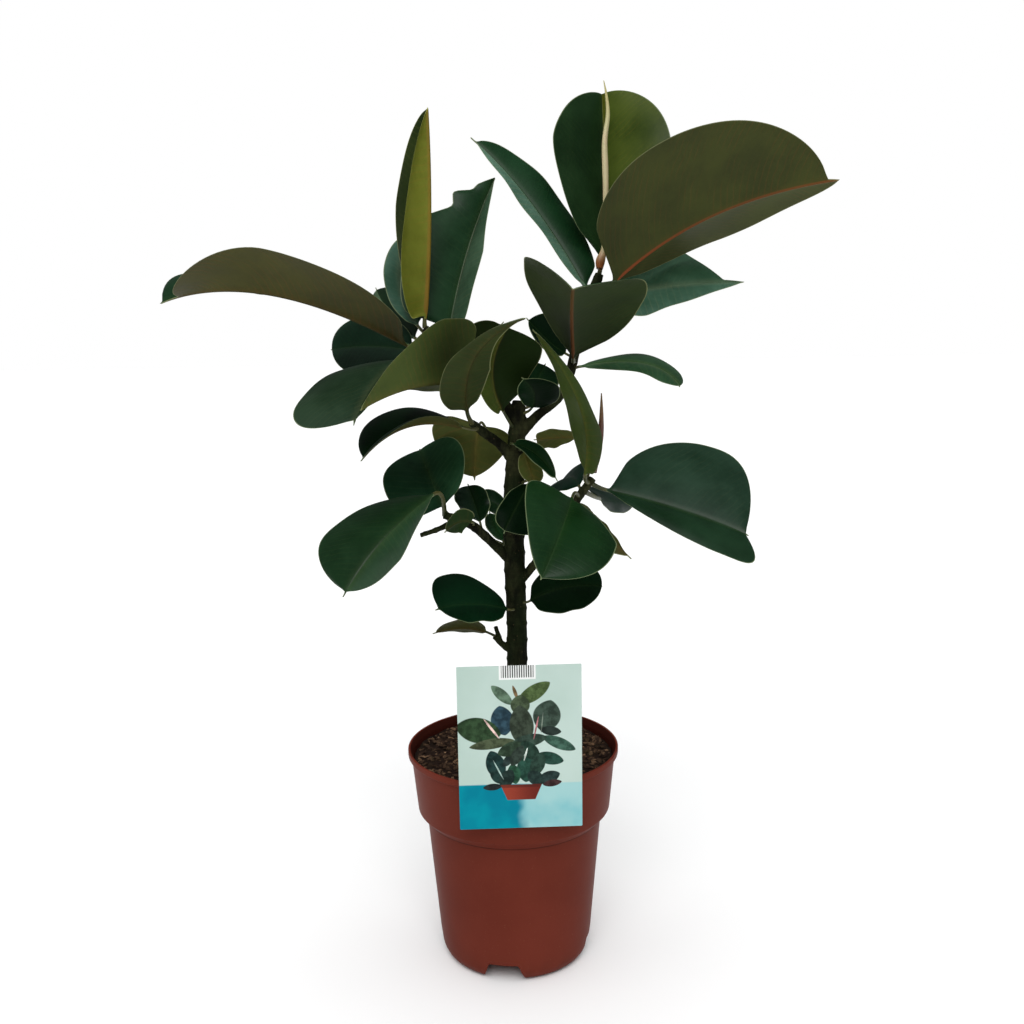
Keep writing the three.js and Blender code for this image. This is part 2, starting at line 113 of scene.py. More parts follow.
# each branch is a list of (x, y, z, radius) along its axis
BRANCHES = {
    "trunk": [(3, 0, 142, 9.2), (4, 0, 206, 9.2), (5, 0, 282, 9.1), (5, 0, 319, 9.1), (4, 0, 370, 9.2),
        (4, 0, 424, 9), (7, 0, 469, 8), (9, 0, 502, 6.8), (10, 0, 512, 5.4)],
    "low": [(4, 0, 284, 4), (-8, -2, 293, 3), (-15, -4, 301, 2.4)],
    "low_stub": [(-10, -3, 296, 2.6), (-14, -3, 310, 1.8)],
    "left_low": [(4, 0, 368, 6), (-14, -6, 386, 4.2), (-31, -16, 404, 4), (-46, -24, 413, 3.6),
        (-57, -25, 416, 3)],
    "twig": [(-45, -24, 412, 3), (-60, -27, 405, 2.4), (-77, -31, 400, 2)],
    "mid": [(5, 0, 460, 6), (-7, -8, 475, 4.2), (-19, -16, 485, 4), (-31, -26, 496, 3.2)],
    "left_top": [(8, 0, 490, 5.5), (-6, -8, 515, 4.6), (-31, -16, 537, 4.2), (-53, -17, 557, 4.2),
        (-69, -14, 576, 3.4)],
    "right_mid": [(4, 0, 348, 6), (20, -8, 366, 3.6), (40, -20, 401, 3.6), (58, -27, 428, 3.8),
        (72, -29, 447, 3.4)],
    "right_top": [(8, 0, 481, 6), (26, -2, 499, 4.2), (44, -4, 514, 4), (54, -8, 535, 4.2),
        (63, -8, 572, 4.4), (73, -8, 601, 4.6), (80, -8, 619, 3.8)],
}

DEFAULT_SHAPE = {"widest": 0.5, "end": 0.94, "blunt": 2.2, "full": 2}


def plan(at, base, mid, tip, left, right, **shape):
    """Where a leaf lies: `at` is where its stalk leaves the branch, base to tip is the midrib, with mid half
    way along, and left and right are its margins where the blade is widest. The shape may say, as in the
    CAD model: widest, end, blunt and full (one number, or one for each half), camber, twist and torn."""
    return {"at": at, "base": base, "mid": mid, "tip": tip, "left": left, "right": right, **shape}


LEAVES = {
    "left_top_1": plan((-65, -17, 570), (-83, -26, 562), (-193, -42, 606), (-288, -30, 600),
        (-190, -92, 640), (-212, 10, 607), end=(0.89, 0.985), blunt=(2.6, 5), twist=-52),
    "left_top_2": plan((-69, -14, 576), (-69, -14, 584), (-63, -6, 670), (-63, 2, 758), (-93, 14, 679),
        (-85, -30, 648), end=0.99, blunt=1.5, camber=0.12),
    "left_top_3": plan((-60, -16, 564), (-49, 6, 574), (-33, 34, 641), (-8, 62, 707), (-81, 24, 656),
        (-19, 6, 640), end=1, blunt=(3, 1.1), full=4, torn=True),
    "left_top_4": plan((-64, -15, 570), (-77, 8, 578), (-93, 34, 616), (-87, 66, 663), (-107, 28, 619),
        (-67, 40, 622)),
    "left_top_5": plan((-60, -16, 563), (-80, 14, 567), (-106, 60, 590), (-123, 105, 613),
        (-120, 62, 581), (-90, 70, 604), blunt=1.8),
    "left_top_6": plan((-56, -16, 560), (-80, 0, 556), (-119, 28, 560), (-160, 52, 557), (-124, 2, 537),
        (-123, 56, 587), end=0.98, blunt=2.8),
    "left_top_7": plan((-56, -17, 560), (-84, -36, 550), (-105, -74, 536), (-119, -118, 504),
        (-92, -66, 538), (-169, -78, 518), widest=0.55, blunt=2.6),
    "left_top_8": plan((-31, -16, 537), (-34, -34, 529), (-74, -82, 531), (-112, -132, 517),
        (-48, -96, 584), (-72, -30, 524), widest=0.34, end=0.99, blunt=1.2, full=4),
    "left_top_9": plan((-24, -14, 531), (-25, -3, 535), (-20, 6, 556), (-2, 20, 580), (7, 16, 552),
        (-36, -4, 571), widest=0.55, blunt=2),
    "mid_1": plan((-30, -26, 495), (-34, -40, 507), (-25, -88, 555), (15, -124, 584), (-13, -74, 543),
        (-52, -94, 538), widest=0.34, end=(0.97, 0.995), blunt=(0.95, 1.7)),
    "mid_2": plan((6, 0, 486), (-4, -18, 505), (-12, -40, 543), (4, -62, 580), (29, -30, 552),
        (-26, -30, 534), widest=0.55, blunt=(3, 2.4)),
    "mid_3": plan((-26, -22, 491), (-38, -44, 494), (-83, -62, 497), (-120, -78, 471), (-80, -96, 503),
        (-101, -20, 507), end=0.96, blunt=2.3),
    "mid_4": plan((-17, -15, 484), (-25, 2, 491), (-29, 8, 469), (-30, 2, 442), (-68, 27, 486),
        (2, 12, 474), widest=(0.3, 0.42), blunt=(1.4, 1.6)),
    "left_low_1": plan((-48, -24, 413), (-57, -22, 423), (-69, -4, 447), (-80, 28, 468),
        (-106, -28, 437), (-40, -6, 472), end=0.97, blunt=2.5),
    "left_low_2": plan((-56, -25, 416), (-64, -48, 438), (-102, -92, 409), (-133, -118, 368),
        (-90, -84, 390), (-152, -62, 410), widest=0.55, end=0.95, blunt=(3, 2.2), full=(1.2, 1.7)),
    "left_low_3": plan((-33, -17, 405), (-33, -26, 410), (-44, -31, 411), (-56, -36, 403),
        (-42, -38, 423), (-43, -20, 399)),
    "left_low_4": plan((-24, -12, 397), (-26, -4, 406), (-31, 10, 421), (-37, 24, 436), (-48, 6, 424),
        (-18, 6, 427), blunt=2.4),
    "left_low_5": plan((-8, -4, 380), (-1, 14, 410), (-15, 40, 416), (-28, 64, 416), (-17, 34, 408),
        (-14, 48, 426), blunt=3),
    "left_low_6": plan((-21, -10, 394), (-6, 4, 387), (-13, 16, 397), (-18, 26, 410), (-21, 14, 398),
        (-5, 14, 401)),
    "trunk_1": plan((9, 0, 505), (22, 4, 510), (27, 22, 527), (35, 40, 542), (4, 14, 536), (45, 14, 523),
        blunt=3),
    "trunk_2": plan((9, 0, 500), (21, -13, 507), (22, -34, 522), (12, -52, 535), (9, -34, 519),
        (45, -26, 521)),
    "trunk_3": plan((7, 0, 474), (5, -16, 476), (25, -34, 468), (41, -50, 448), (26, -26, 477),
        (20, -42, 465), widest=0.45, blunt=(1.6, 2.2)),
    "trunk_4": plan((6, 0, 460), (14, -15, 469), (18, -20, 456), (23, -22, 440), (9, -18, 453),
        (29, -24, 455)),
    "trunk_5": plan((5, 0, 437), (18, -22, 442), (6, -48, 426), (-5, -66, 407), (24, -52, 410),
        (-9, -50, 427), widest=0.6, blunt=3),
    "trunk_6": plan((5, 0, 334), (17, -7, 334), (49, 0, 344), (83, 6, 343), (51, 28, 361),
        (52, -30, 330), end=0.99, blunt=3),
    "trunk_7": plan((5, 0, 327), (-3, -12, 328), (-36, -12, 333), (-67, -18, 330), (-35, -38, 324),
        (-55, 26, 353), widest=0.6, blunt=2.6, full=(2.4, 1.4)),
    "low_1": plan((-13, -3, 300), (-22, -7, 306), (-44, -10, 311), (-70, -16, 308), (-44, -34, 326),
        (-45, 12, 301), blunt=1.8),
    "right_mid_1": plan((69, -29, 443), (65, -40, 452), (60, -58, 512), (21, -72, 575), (74, -84, 494),
        (50, -22, 505), widest=0.42, end=0.98, blunt=1.4, full=1.6),
    "right_mid_2": plan((70, -29, 443), (84, -32, 437), (143, -52, 422), (198, -70, 403), (173, 2, 470),
        (166, -92, 394), end=0.97, blunt=3.2, full=(2, 1.5)),
    "right_mid_3": plan((60, -28, 431), (52, -66, 436), (39, -116, 414), (23, -146, 386),
        (85, -112, 406), (14, -98, 453), widest=(0.45, 0.2), end=0.97, blunt=(3, 1.3), full=(1.2, 2)),
    "right_mid_4": plan((64, -28, 436), (80, 4, 424), (102, 74, 410), (128, 146, 396), (80, 66, 424),
        (104, 66, 399)),
    "right_mid_5": plan((60, -28, 431), (62, 0, 436), (57, 46, 437), (50, 96, 425), (36, 40, 426),
        (72, 52, 452), blunt=2.6),
    "right_mid_6": plan((56, -26, 425), (69, -38, 420), (81, -56, 404), (101, -68, 384), (67, -64, 398),
        (88, -44, 402), blunt=1.2),
    "right_mid_7": plan((66, -28, 440), (61, 2, 479), (45, -6, 480), (22, -12, 479), (36, -14, 488),
        (36, 6, 469), widest=0.55),
    "right_top_1": plan((71, -8, 594), (69, -2, 607), (22, 34, 684), (-29, 62, 742), (14, 16, 680),
        (39, 50, 700), end=0.95, blunt=(1.5, 1.7), full=(2, 3.4)),
    "right_top_2": plan((78, -8, 615), (83, 10, 632), (88, 44, 710), (88, 64, 777), (43, 18, 735),
        (144, 22, 728), widest=0.46, end=1, blunt=(1.5, 1.7)),
    "right_top_3": plan((76, -8, 609), (90, -20, 611), (179, 5, 667), (292, 30, 697), (193, 44, 649),
        (131, -52, 722), widest=0.4, end=(0.995, 0.952), blunt=(1.35, 2), full=(2, 2.6)),
    "right_top_4": plan((73, -8, 601), (93, 2, 600), (145, 14, 608), (210, 26, 611), (143, 56, 648),
        (119, -16, 584), widest=(0.42, 0.34), end=(0.88, 0.99), blunt=(1.1, 1.25)),
    "right_top_5": plan((57, -8, 546), (56, -28, 550), (52, -78, 583), (50, -134, 605), (110, -92, 603),
        (14, -92, 624), widest=0.55, end=0.98, blunt=2.6, full=(2.2, 1.8)),
    "right_top_6": plan((55, -8, 538), (62, -10, 541), (117, -16, 543), (147, -24, 523), (131, 10, 547),
        (117, -34, 534), widest=0.55, end=0.98, blunt=2.6, full=1.6),
    "right_top_7": plan((62, -8, 567), (74, 2, 567), (96, 24, 583), (122, 38, 602), (86, 44, 600),
        (98, 4, 580)),
    "right_top_8": plan((57, -8, 549), (51, 2, 552), (35, 18, 564), (18, 36, 583), (31, 10, 557),
        (48, 24, 582)),
}
# how much of the torn half is left, along its midrib: (share of the length, share of the width)
TEAR = [(0, 1), (0.6, 1), (0.65, 0.81), (0.73, 0.52), (0.75, 0.5), (0.81, 0.57), (0.83, 0.55),
        (0.855, 0.4), (0.875, 0.28), (0.92, 0.23), (0.96, 0.12), (1, 0)]
YOUNG_LEAF = "left_top_2"

# the sheath and the bud spike, as (x, y, z, radius) along their axes
SHEATH = [
    (80, -7, 623, 3), (81, -5, 630, 4.2), (84, -3, 640, 2.6), (85, -2, 660, 2.2), (86, 2, 690, 2.6),
    (86, 6, 709, 2.9), (86, 10, 730, 2.5), (89, 14, 751, 2), (88, 17, 768, 1.3), (86, 19, 780, 0.5),
]
BUD = [(73, -29, 452, 2.4), (78, -33, 480, 2.6), (79, -35, 500, 1.9), (79, -36, 520, 0.5)]

# How each leaf's colour departs from the common one: (red, green, blue) factors of its left and right
# half. These are mostly painted light and partly the leaf's own colour: leaves in shade are painted deep,
# as painted shade, and halves that catch a reflection are painted lighter and greyer, as painted sheen.
PLAIN = (1, 1, 1)
# painted shade: the next two factors darken leaves that lie in shade, the second those deepest inside the
# plant
SHADED = (0.4, 0.5, 0.4)
DEEP_SHADE = (0.15, 0.24, 0.18)
SHADE_AND_SHEEN_TINTS = {
    "left_top_1": ((1.15, 1.0, 1.0), (0.6, 0.7, 0.7)),
    "left_top_2": ((0.7, 0.8, 0.6), PLAIN),
    "left_top_3": ((1.4, 1.2, 1.2), (6, 2.7, 4.2)),
    "left_top_4": ((6, 3.2, 6), (4.4, 2.7, 4.6)),
    "left_top_5": ((5, 2.6, 4.2), SHADED),
    "left_top_6": ((0.5, 0.45, 0.6), (0.3, 0.4, 0.45)),
    "left_top_7": ((1.5, 0.85, 1.1), (2.4, 1.2, 1.7)),
    "left_top_8": ((1.5, 1.85, 1.7), (1.4, 1.7, 1.5)),
    "left_top_9": ((0.18, 0.32, 0.18), (0.18, 0.32, 0.18)),
    "mid_1": ((0.6, 0.8, 0.8), (0.75, 0.95, 1.0)),
    "mid_2": ((0.14, 0.32, 0.14), (1.0, 1.35, 0.8)),
    "mid_3": (SHADED, SHADED),
    "mid_4": ((1.6, 1.7, 1.5), (1.9, 2.0, 1.7)),
    "left_low_1": ((1.6, 1.4, 1.7), (2.2, 1.7, 2.0)),
    "left_low_2": ((2.2, 1.6, 1.7), (1.1, 1.0, 0.85)),
    "left_low_3": ((0.35, 0.75, 0.7), (0.35, 0.75, 0.7)),
    "left_low_4": ((0.9, 0.7, 0.9), SHADED),
    "left_low_5": (SHADED, SHADED),
    "left_low_6": (PLAIN, (0.8, 1.1, 0.8)),
    "trunk_1": (SHADED, SHADED),
    "trunk_2": (SHADED, DEEP_SHADE),
    "trunk_3": (SHADED, SHADED),
    "trunk_4": ((1.5, 1.7, 1.3), (1.7, 1.9, 1.4)),
    "trunk_5": (DEEP_SHADE, DEEP_SHADE),
    "trunk_6": (SHADED, (0.5, 0.55, 0.5)),
    "trunk_7": ((0.2, 0.45, 0.4), (0.2, 0.45, 0.4)),
    "right_mid_1": ((1.1, 1.6, 1.1), (1.1, 1.6, 1.1)),
    "right_mid_2": ((1.7, 1.1, 1.65), (0.85, 0.8, 0.85)),
    "right_mid_3": ((0.55, 0.7, 0.45), (0.75, 0.8, 0.6)),
    "right_mid_4": ((0.25, 0.6, 0.8), (0.25, 0.6, 0.8)),
    "right_mid_5": ((0.25, 0.6, 0.8), (0.25, 0.6, 0.8)),
    "right_mid_7": ((1.3, 1.4, 1.2), (1.3, 1.4, 1.2)),
    "right_top_1": ((9, 4.2, 8), (0.6, 0.85, 0.7)),
    "right_top_2": ((1.1, 0.85, 0.6), (6.5, 2.2, 0.5)),
    "right_top_3": ((1.25, 1.3, 1.6), (1.1, 1.12, 1.1)),
    "right_top_4": ((3.8, 2.3, 3.4), (6.5, 3.4, 6)),
    "right_top_5": ((0.5, 0.75, 0.8), (0.6, 0.85, 0.9)),
    "right_top_6": ((3.4, 2.3, 2.5), (4.6, 2.8, 3.4)),
    "right_top_8": (DEEP_SHADE, DEEP_SHADE),
}

# leaves turned so that their underside is at the front: their tint is that side's, and the other is plain
SEEN_BENEATH = (
    "left_top_1", "left_top_8", "left_top_9", "mid_1", "mid_2", "mid_4", "left_low_3", "trunk_4", "low_1",
    "right_mid_1", "right_mid_6", "right_mid_7", "right_top_3", "right_top_5",
)

# leaves whose upper face lies in shade: they take the shaded copy of the upper finish, with its reflection
# cut, as painted shade
SHADED_LEAVES = (
    "mid_3", "left_low_1", "left_low_5", "right_mid_4", "right_mid_5", "right_top_8",
    "trunk_1", "trunk_2", "trunk_3", "trunk_5", "trunk_6", "trunk_7",
)

# how red the midrib is beneath, from 0 to 1
RED_RIBS = {"right_top_3": 0.9, "right_top_5": 0.45, "left_top_2": 0.5}
COMMON_RIB = 0.04


# ---- shader nodes ----
def linear(red, green, blue):
    """An (r, g, b) colour of 0 to 255 as the linear values that a shader takes."""
    def one(value):
        share = value / 255
        return share / 12.92 if share <= 0.04045 else ((share + 0.055) / 1.055) ** 2.4
    return (one(red), one(green), one(blue), 1)


class Finish:
    """A node material under construction; each method adds a node and returns its output socket."""

    def __init__(self, name, roughness, specular=0.5):
        self.material = bpy.data.materials.new(name)
        self.material.use_nodes = True
        self.tree = self.material.node_tree
        self.shader = self.tree.nodes["Principled BSDF"]
        self.shader.inputs["Roughness"].default_value = roughness
        self.shader.inputs["Specular IOR Level"].default_value = specular

    def node(self, kind, inputs=(), **settings):
        made = self.tree.nodes.new("ShaderNode" + kind)
        for key, value in settings.items():
            setattr(made, key, value)
        for key, value in dict(inputs).items():
            self.feed(made.inputs[key], value)
        return made

    def feed(self, socket, value):
        if isinstance(value, bpy.types.NodeSocket):
            self.tree.links.new(value, socket)
        else:
            socket.default_value = value

    def attribute(self, name):
        return self.node("Attribute", attribute_name=name)

    def split(self, vector):
        return self.node("SeparateXYZ", {0: vector}).outputs

    def place(self):
        return self.node("TexCoord").outputs["Object"]

    def maths(self, operation, first, second=0.0):
        return self.node("Math", {0: first, 1: second}, operation=operation).outputs[0]

    def times(self, first, second):
        return self.maths("MULTIPLY", first, second)

    def plus(self, first, second):
        return self.maths("ADD", first, second)

    def minus(self, first, second):
        return self.maths("SUBTRACT", first, second)

    def size(self, value):
        """The value without its sign."""
        return self.maths("ABSOLUTE", value)

    def scaled(self, x, y, z):
        """The place, with each axis scaled."""
        return self.node("Mapping", {"Vector": self.place(), "Scale": (x, y, z)}).outputs[0]

    def noise(self, scale, detail=3.0, roughness=0.5, vector=None):
        vector = vector or self.place()
        inputs = {"Vector": vector, "Scale": scale, "Detail": detail, "Roughness": roughness}
        return self.node("TexNoise", inputs).outputs["Fac"]

    def cells(self, scale):
        return self.node("TexVoronoi", {"Vector": self.place(), "Scale": scale}).outputs["Distance"]

    def span(self, value, low, high, to_low=0.0, to_high=1.0):
        """The value, stretched from low..high to to_low..to_high and held there."""
        inputs = {"Value": value, "From Min": low, "From Max": high, "To Min": to_low, "To Max": to_high}
        return self.node("MapRange", inputs, interpolation_type="SMOOTHSTEP").outputs[0]

    def mix(self, share, first, second, blend="MIX"):
        made = self.node("Mix", data_type="RGBA", blend_type=blend)
        self.feed(made.inputs["Factor"], share)
        self.feed(made.inputs[6], first)
        self.feed(made.inputs[7], second)
        return made.outputs[2]

    def bump(self, height, distance, strength=1.0, normal=None):
        inputs = {"Height": height, "Distance": distance * MM, "Strength": strength}
        if normal is not None:
            inputs["Normal"] = normal
        return self.node("Bump", inputs).outputs[0]

    def finish(self, colour, roughness=None, normal=None):
        self.feed(self.shader.inputs["Base Color"], colour)
        if roughness is not None:
            self.feed(self.shader.inputs["Roughness"], roughness)
        if normal is not None:
            self.feed(self.shader.inputs["Normal"], normal)
        return self.material


VEIN_SPACING = 6.0

# the colours of a leaf side: darkest, lightest, midrib and margin
GREEN_ABOVE = (linear(13, 40, 20), linear(24, 56, 32), linear(92, 118, 62), linear(120, 134, 96))
GREEN_BENEATH = (linear(52, 56, 26), linear(64, 68, 32), linear(132, 66, 36), linear(128, 132, 92))
YOUNG_ABOVE = (linear(30, 42, 14), linear(46, 56, 20), linear(120, 110, 56), linear(150, 154, 90))
YOUNG_BENEATH = (linear(88, 94, 26), linear(108, 114, 38), linear(146, 96, 40), linear(170, 176, 96))


def leaf_finish(name, tint_name, colours, roughness, specular, vein_share, rib_width):
    """A leaf side; `blade` holds the distances along the midrib, off it and in from the margin."""
    dark, light, rib, edge = colours
    f = Finish(name, roughness, specular)
    along, across, rim = f.split(f.attribute("blade").outputs["Vector"])
    away = f.size(across)
    # side veins leave the midrib nearly square to it, and curve forwards
    forward = f.times(f.maths("POWER", away, 1.25), 0.16)
    wobble = f.times(f.noise(60.0, 2.0), 5.0)
    phase = f.plus(f.minus(along, forward), wobble)
    wave = f.maths("SINE", f.times(phase, 2 * math.pi / VEIN_SPACING))
    veins = f.times(f.span(wave, 0.6, 1.0), f.span(f.noise(40.0, 2.0), 0.3, 0.65))
    cloud = f.noise(22.0, 4.0, 0.6)
    grain = f.noise(420.0, 3.0, 0.6)
    body = f.mix(f.span(cloud, 0.3, 0.7), dark, light)
    body = f.mix(f.span(grain, 0.35, 0.75, 0.0, 0.2), body, light)
    body = f.mix(f.times(veins, vein_share), body, rib)
    body = f.mix(f.span(away, 0.0, 7.0, 0.05, 0.0), body, rib)
    # the tint is mostly painted shade and painted sheen; its alpha says how red the midrib is
    tint = f.attribute(tint_name)
    body = f.mix(1.0, body, tint.outputs["Color"], "MULTIPLY")
    line = f.times(f.span(away, rib_width * 0.5, rib_width, 1.0, 0.0), tint.outputs["Alpha"])
    line = f.times(line, f.span(along, 0.0, 130.0, 1.0, 0.5))
    body = f.mix(line, body, rib)
    body = f.mix(f.span(rim, 0.3, 1.1, 0.75, 0.0), body, edge)
    height = f.plus(f.times(veins, -0.35), f.times(grain, 0.3))
    rough = f.span(cloud, 0.25, 0.75, roughness - 0.05, roughness + 0.07)
    return f.finish(body, rough, f.bump(height, 0.3, 0.4))


def stalk_finish():
    f = Finish("leaf_stalk", 0.45)
    tone = f.span(f.noise(90.0, 4.0), 0.3, 0.7)
    colour = f.mix(tone, linear(44, 54, 24), linear(84, 82, 42))
    return f.finish(colour, None, f.bump(f.noise(700.0, 3.0), 0.3, 0.4))


def pot_finish():
    f = Finish("terracotta_plastic", 0.55, 0.03)
    low, high = linear(97, 41, 30), linear(107, 47, 35)
    cloud = f.noise(9.0, 5.0, 0.6)
    colour = f.mix(f.span(cloud, 0.3, 0.7), low, high)
    specks = f.span(f.noise(900.0, 2.0), 0.66, 0.75)
    colour = f.mix(f.times(specks, 0.25), colour, linear(150, 96, 78))
    x, y, z = f.split(f.place())
    # the inner wall and the inside of the lip are painted darker, as painted shade inside the pot
    radius = f.maths("SQRT", f.plus(f.times(x, x), f.times(y, y)))
    wall_radius = (COLLAR_TOP_RADIUS - POT_WALL / 2) * MM
    inner_edge = f.span(z, (LIP_Z - 0.5) * MM, LIP_Z * MM, wall_radius, (RIM_RADIUS - 1.9) * MM)
    inside = f.span(f.minus(inner_edge, radius), 0.0, 0.2 * MM)
    inside = f.times(inside, f.span(z, (SOIL_TOP_Z - 4) * MM, (SOIL_TOP_Z - 3) * MM))
    colour = f.mix(f.times(inside, 0.8), colour, linear(44, 18, 13))
    # a fine dark line of painted shadow runs round under the step
    from_step = f.size(f.minus(z, STEP_LOW_Z * MM))
    step_shadow_line = f.span(from_step, 0.2 * MM, 0.9 * MM, 0.75, 0.0)
    colour = f.mix(step_shadow_line, colour, linear(52, 22, 16))
    # darker in patches towards the foot
    foot = f.times(f.span(z, 0.0, 0.03, 1.0, 0.0), f.span(f.noise(60.0, 5.0), 0.4, 0.75))
    colour = f.mix(f.times(foot, 0.35), colour, linear(70, 40, 32))
    scuffs = f.span(f.noise(35.0, 6.0, 0.75), 0.55, 0.75)
    rough = f.plus(f.times(scuffs, 0.12), 0.44)
    grain = f.bump(f.noise(1500.0, 2.0), 0.12, 0.25)
    return f.finish(colour, rough, f.bump(f.noise(14.0, 2.0), 0.7, 0.25, grain))


def soil_finish(name, dark, light):
    f = Finish(name, 0.95, 0.2)
    tone = f.attribute("tone").outputs["Fac"]
    body = f.mix(tone, dark, light)
    body = f.mix(f.span(f.noise(500.0, 5.0, 0.7), 0.35, 0.7, 0.0, 0.6), body, linear(24, 15, 11))
    body = f.mix(f.span(f.noise(70.0, 4.0), 0.55, 0.75, 0.0, 0.35), body, linear(66, 60, 34))
    return f.finish(body, None, f.bump(f.noise(900.0, 5.0, 0.7), 0.8, 0.9))


def bark_finish():
    f = Finish("bark", 0.8, 0.05)
    cloud = f.noise(75.0, 5.0, 0.65, f.scaled(1.0, 1.0, 0.35))
    body = f.mix(f.span(cloud, 0.35, 0.65), linear(14, 15, 9), linear(50, 52, 32))
    green = f.span(f.noise(28.0, 3.0), 0.4, 0.62)
    body = f.mix(f.times(green, 0.55), body, linear(24, 36, 16))
    # corky dots and fine rings
    dots = f.span(f.cells(330.0), 0.0, 0.22, 1.0, 0.0)
    dots = f.times(dots, f.span(f.noise(120.0), 0.5, 0.6))
    body = f.mix(f.times(dots, 0.7), body, linear(104, 84, 60))
    z = f.split(f.place())[2]
    rings = f.maths("SINE", f.plus(f.times(z, 1400.0), f.times(f.noise(45.0), 9.0)))
    body = f.mix(f.span(rings, 0.8, 1.0, 0.0, 0.2), body, linear(16, 12, 8))
    height = f.plus(f.times(rings, 0.12), f.plus(cloud, f.times(dots, 0.4)))
    return f.finish(body, None, f.bump(height, 0.7, 0.8))


def sheath_finish():
    f = Finish("bud_sheath", 0.42)
    z = f.split(f.place())[2]
    streaks = f.noise(300.0, 3.0, 0.5, f.scaled(1, 1, 0.06))
    body = f.mix(f.span(streaks, 0.35, 0.7), linear(196, 188, 142), linear(206, 186, 148))
    body = f.mix(f.span(z, 0.625, 0.645, 1.0, 0.0), body, linear(150, 84, 38))
    body = f.mix(f.span(z, 0.735, 0.78, 0.0, 0.75), body, linear(176, 168, 96))
    return f.finish(body, None, f.bump(streaks, 0.4, 0.5))


def bud_finish():
    f = Finish("young_bud", 0.45)
    z = f.split(f.place())[2]
    tone = f.span(f.noise(160.0, 3.0), 0.35, 0.7)
    body = f.mix(tone, linear(84, 48, 38), linear(110, 78, 52))
    body = f.mix(f.span(z, 0.49, 0.52, 0.0, 0.6), body, linear(112, 96, 60))
    return f.finish(body, None, f.bump(f.noise(500.0, 3.0), 0.3, 0.4))


# The picture on the label, in millimetres from the card's lower left corner. Each pictured leaf is its
# middle (x, z), half length, half width, angle in degrees, and colour.
PICTURED_LEAVES = [
    (37, 117, 12, 4.5, 136, (88, 112, 92)), (48, 119, 6.5, 1.5, 108, (112, 92, 64)),
    (63, 118, 16.5, 6.5, 33, (78, 98, 58)), (52, 108, 9, 8, 84, (66, 80, 58)),
    (74, 98, 14, 11.5, 75, (56, 72, 62)), (37, 95, 13, 9.5, 100, (42, 66, 78)),
    (53, 90, 18, 10, 95, (52, 62, 50)), (77, 85, 9, 4, -8, (36, 46, 42)),
    (17, 87, 19, 11, 168, (44, 66, 42)), (84, 74, 15, 5, -24, (60, 92, 78)),
    (28, 75, 19, 4.5, 8, (70, 80, 58)), (59, 77, 15, 5.5, 10, (50, 68, 58)),
    (76, 61, 12, 5.5, -14, (34, 64, 54)), (31, 56, 13.5, 8, 108, (28, 52, 50)),
    (41, 60, 6, 3.4, 60, (40, 54, 52)), (57, 53, 12.5, 8.5, 85, (36, 70, 58)),
    (75, 44, 10, 5.5, 20, (38, 54, 52)), (46, 48, 9, 5.5, 100, (38, 76, 56)),
    (34, 46, 9, 6, 150, (28, 50, 46)), (28, 37, 8, 3, 4, (34, 38, 38)), (78, 39, 8, 3, 8, (58, 40, 40)),
    (44, 70, 12, 6, 20, (48, 66, 50)), (60, 68, 11, 6, 130, (34, 56, 46)), (49, 64, 10, 5, 60, (46, 58, 50)),
    (66, 56, 11, 6, 70, (40, 62, 52)), (40, 44, 9, 6, 60, (32, 48, 44)), (64, 44, 8, 6, 140, (34, 52, 48)),
]
PICTURED_RIBS = [(28, 88, 11, 1.0, 126, (222, 192, 182)), (65, 88, 10.5, 0.7, 78, (186, 120, 124)),
                 (56, 65, 6, 0.8, 75, (206, 218, 208)), (70, 92, 9, 0.5, 84, (110, 122, 110)),
                 (33, 52, 10, 0.6, 116, (150, 176, 168))]


SKYLINE = (38.6, 39.8)
BOWL_X = 52.0
BOWL_FOOT_Z = 25.0
BOWL_FOOT_HALF = 11.6
BOWL_FLARE = 0.42
FIELD_X = 50.0
FIELD_Z = 130.0
BAR_SPACING = 1.9


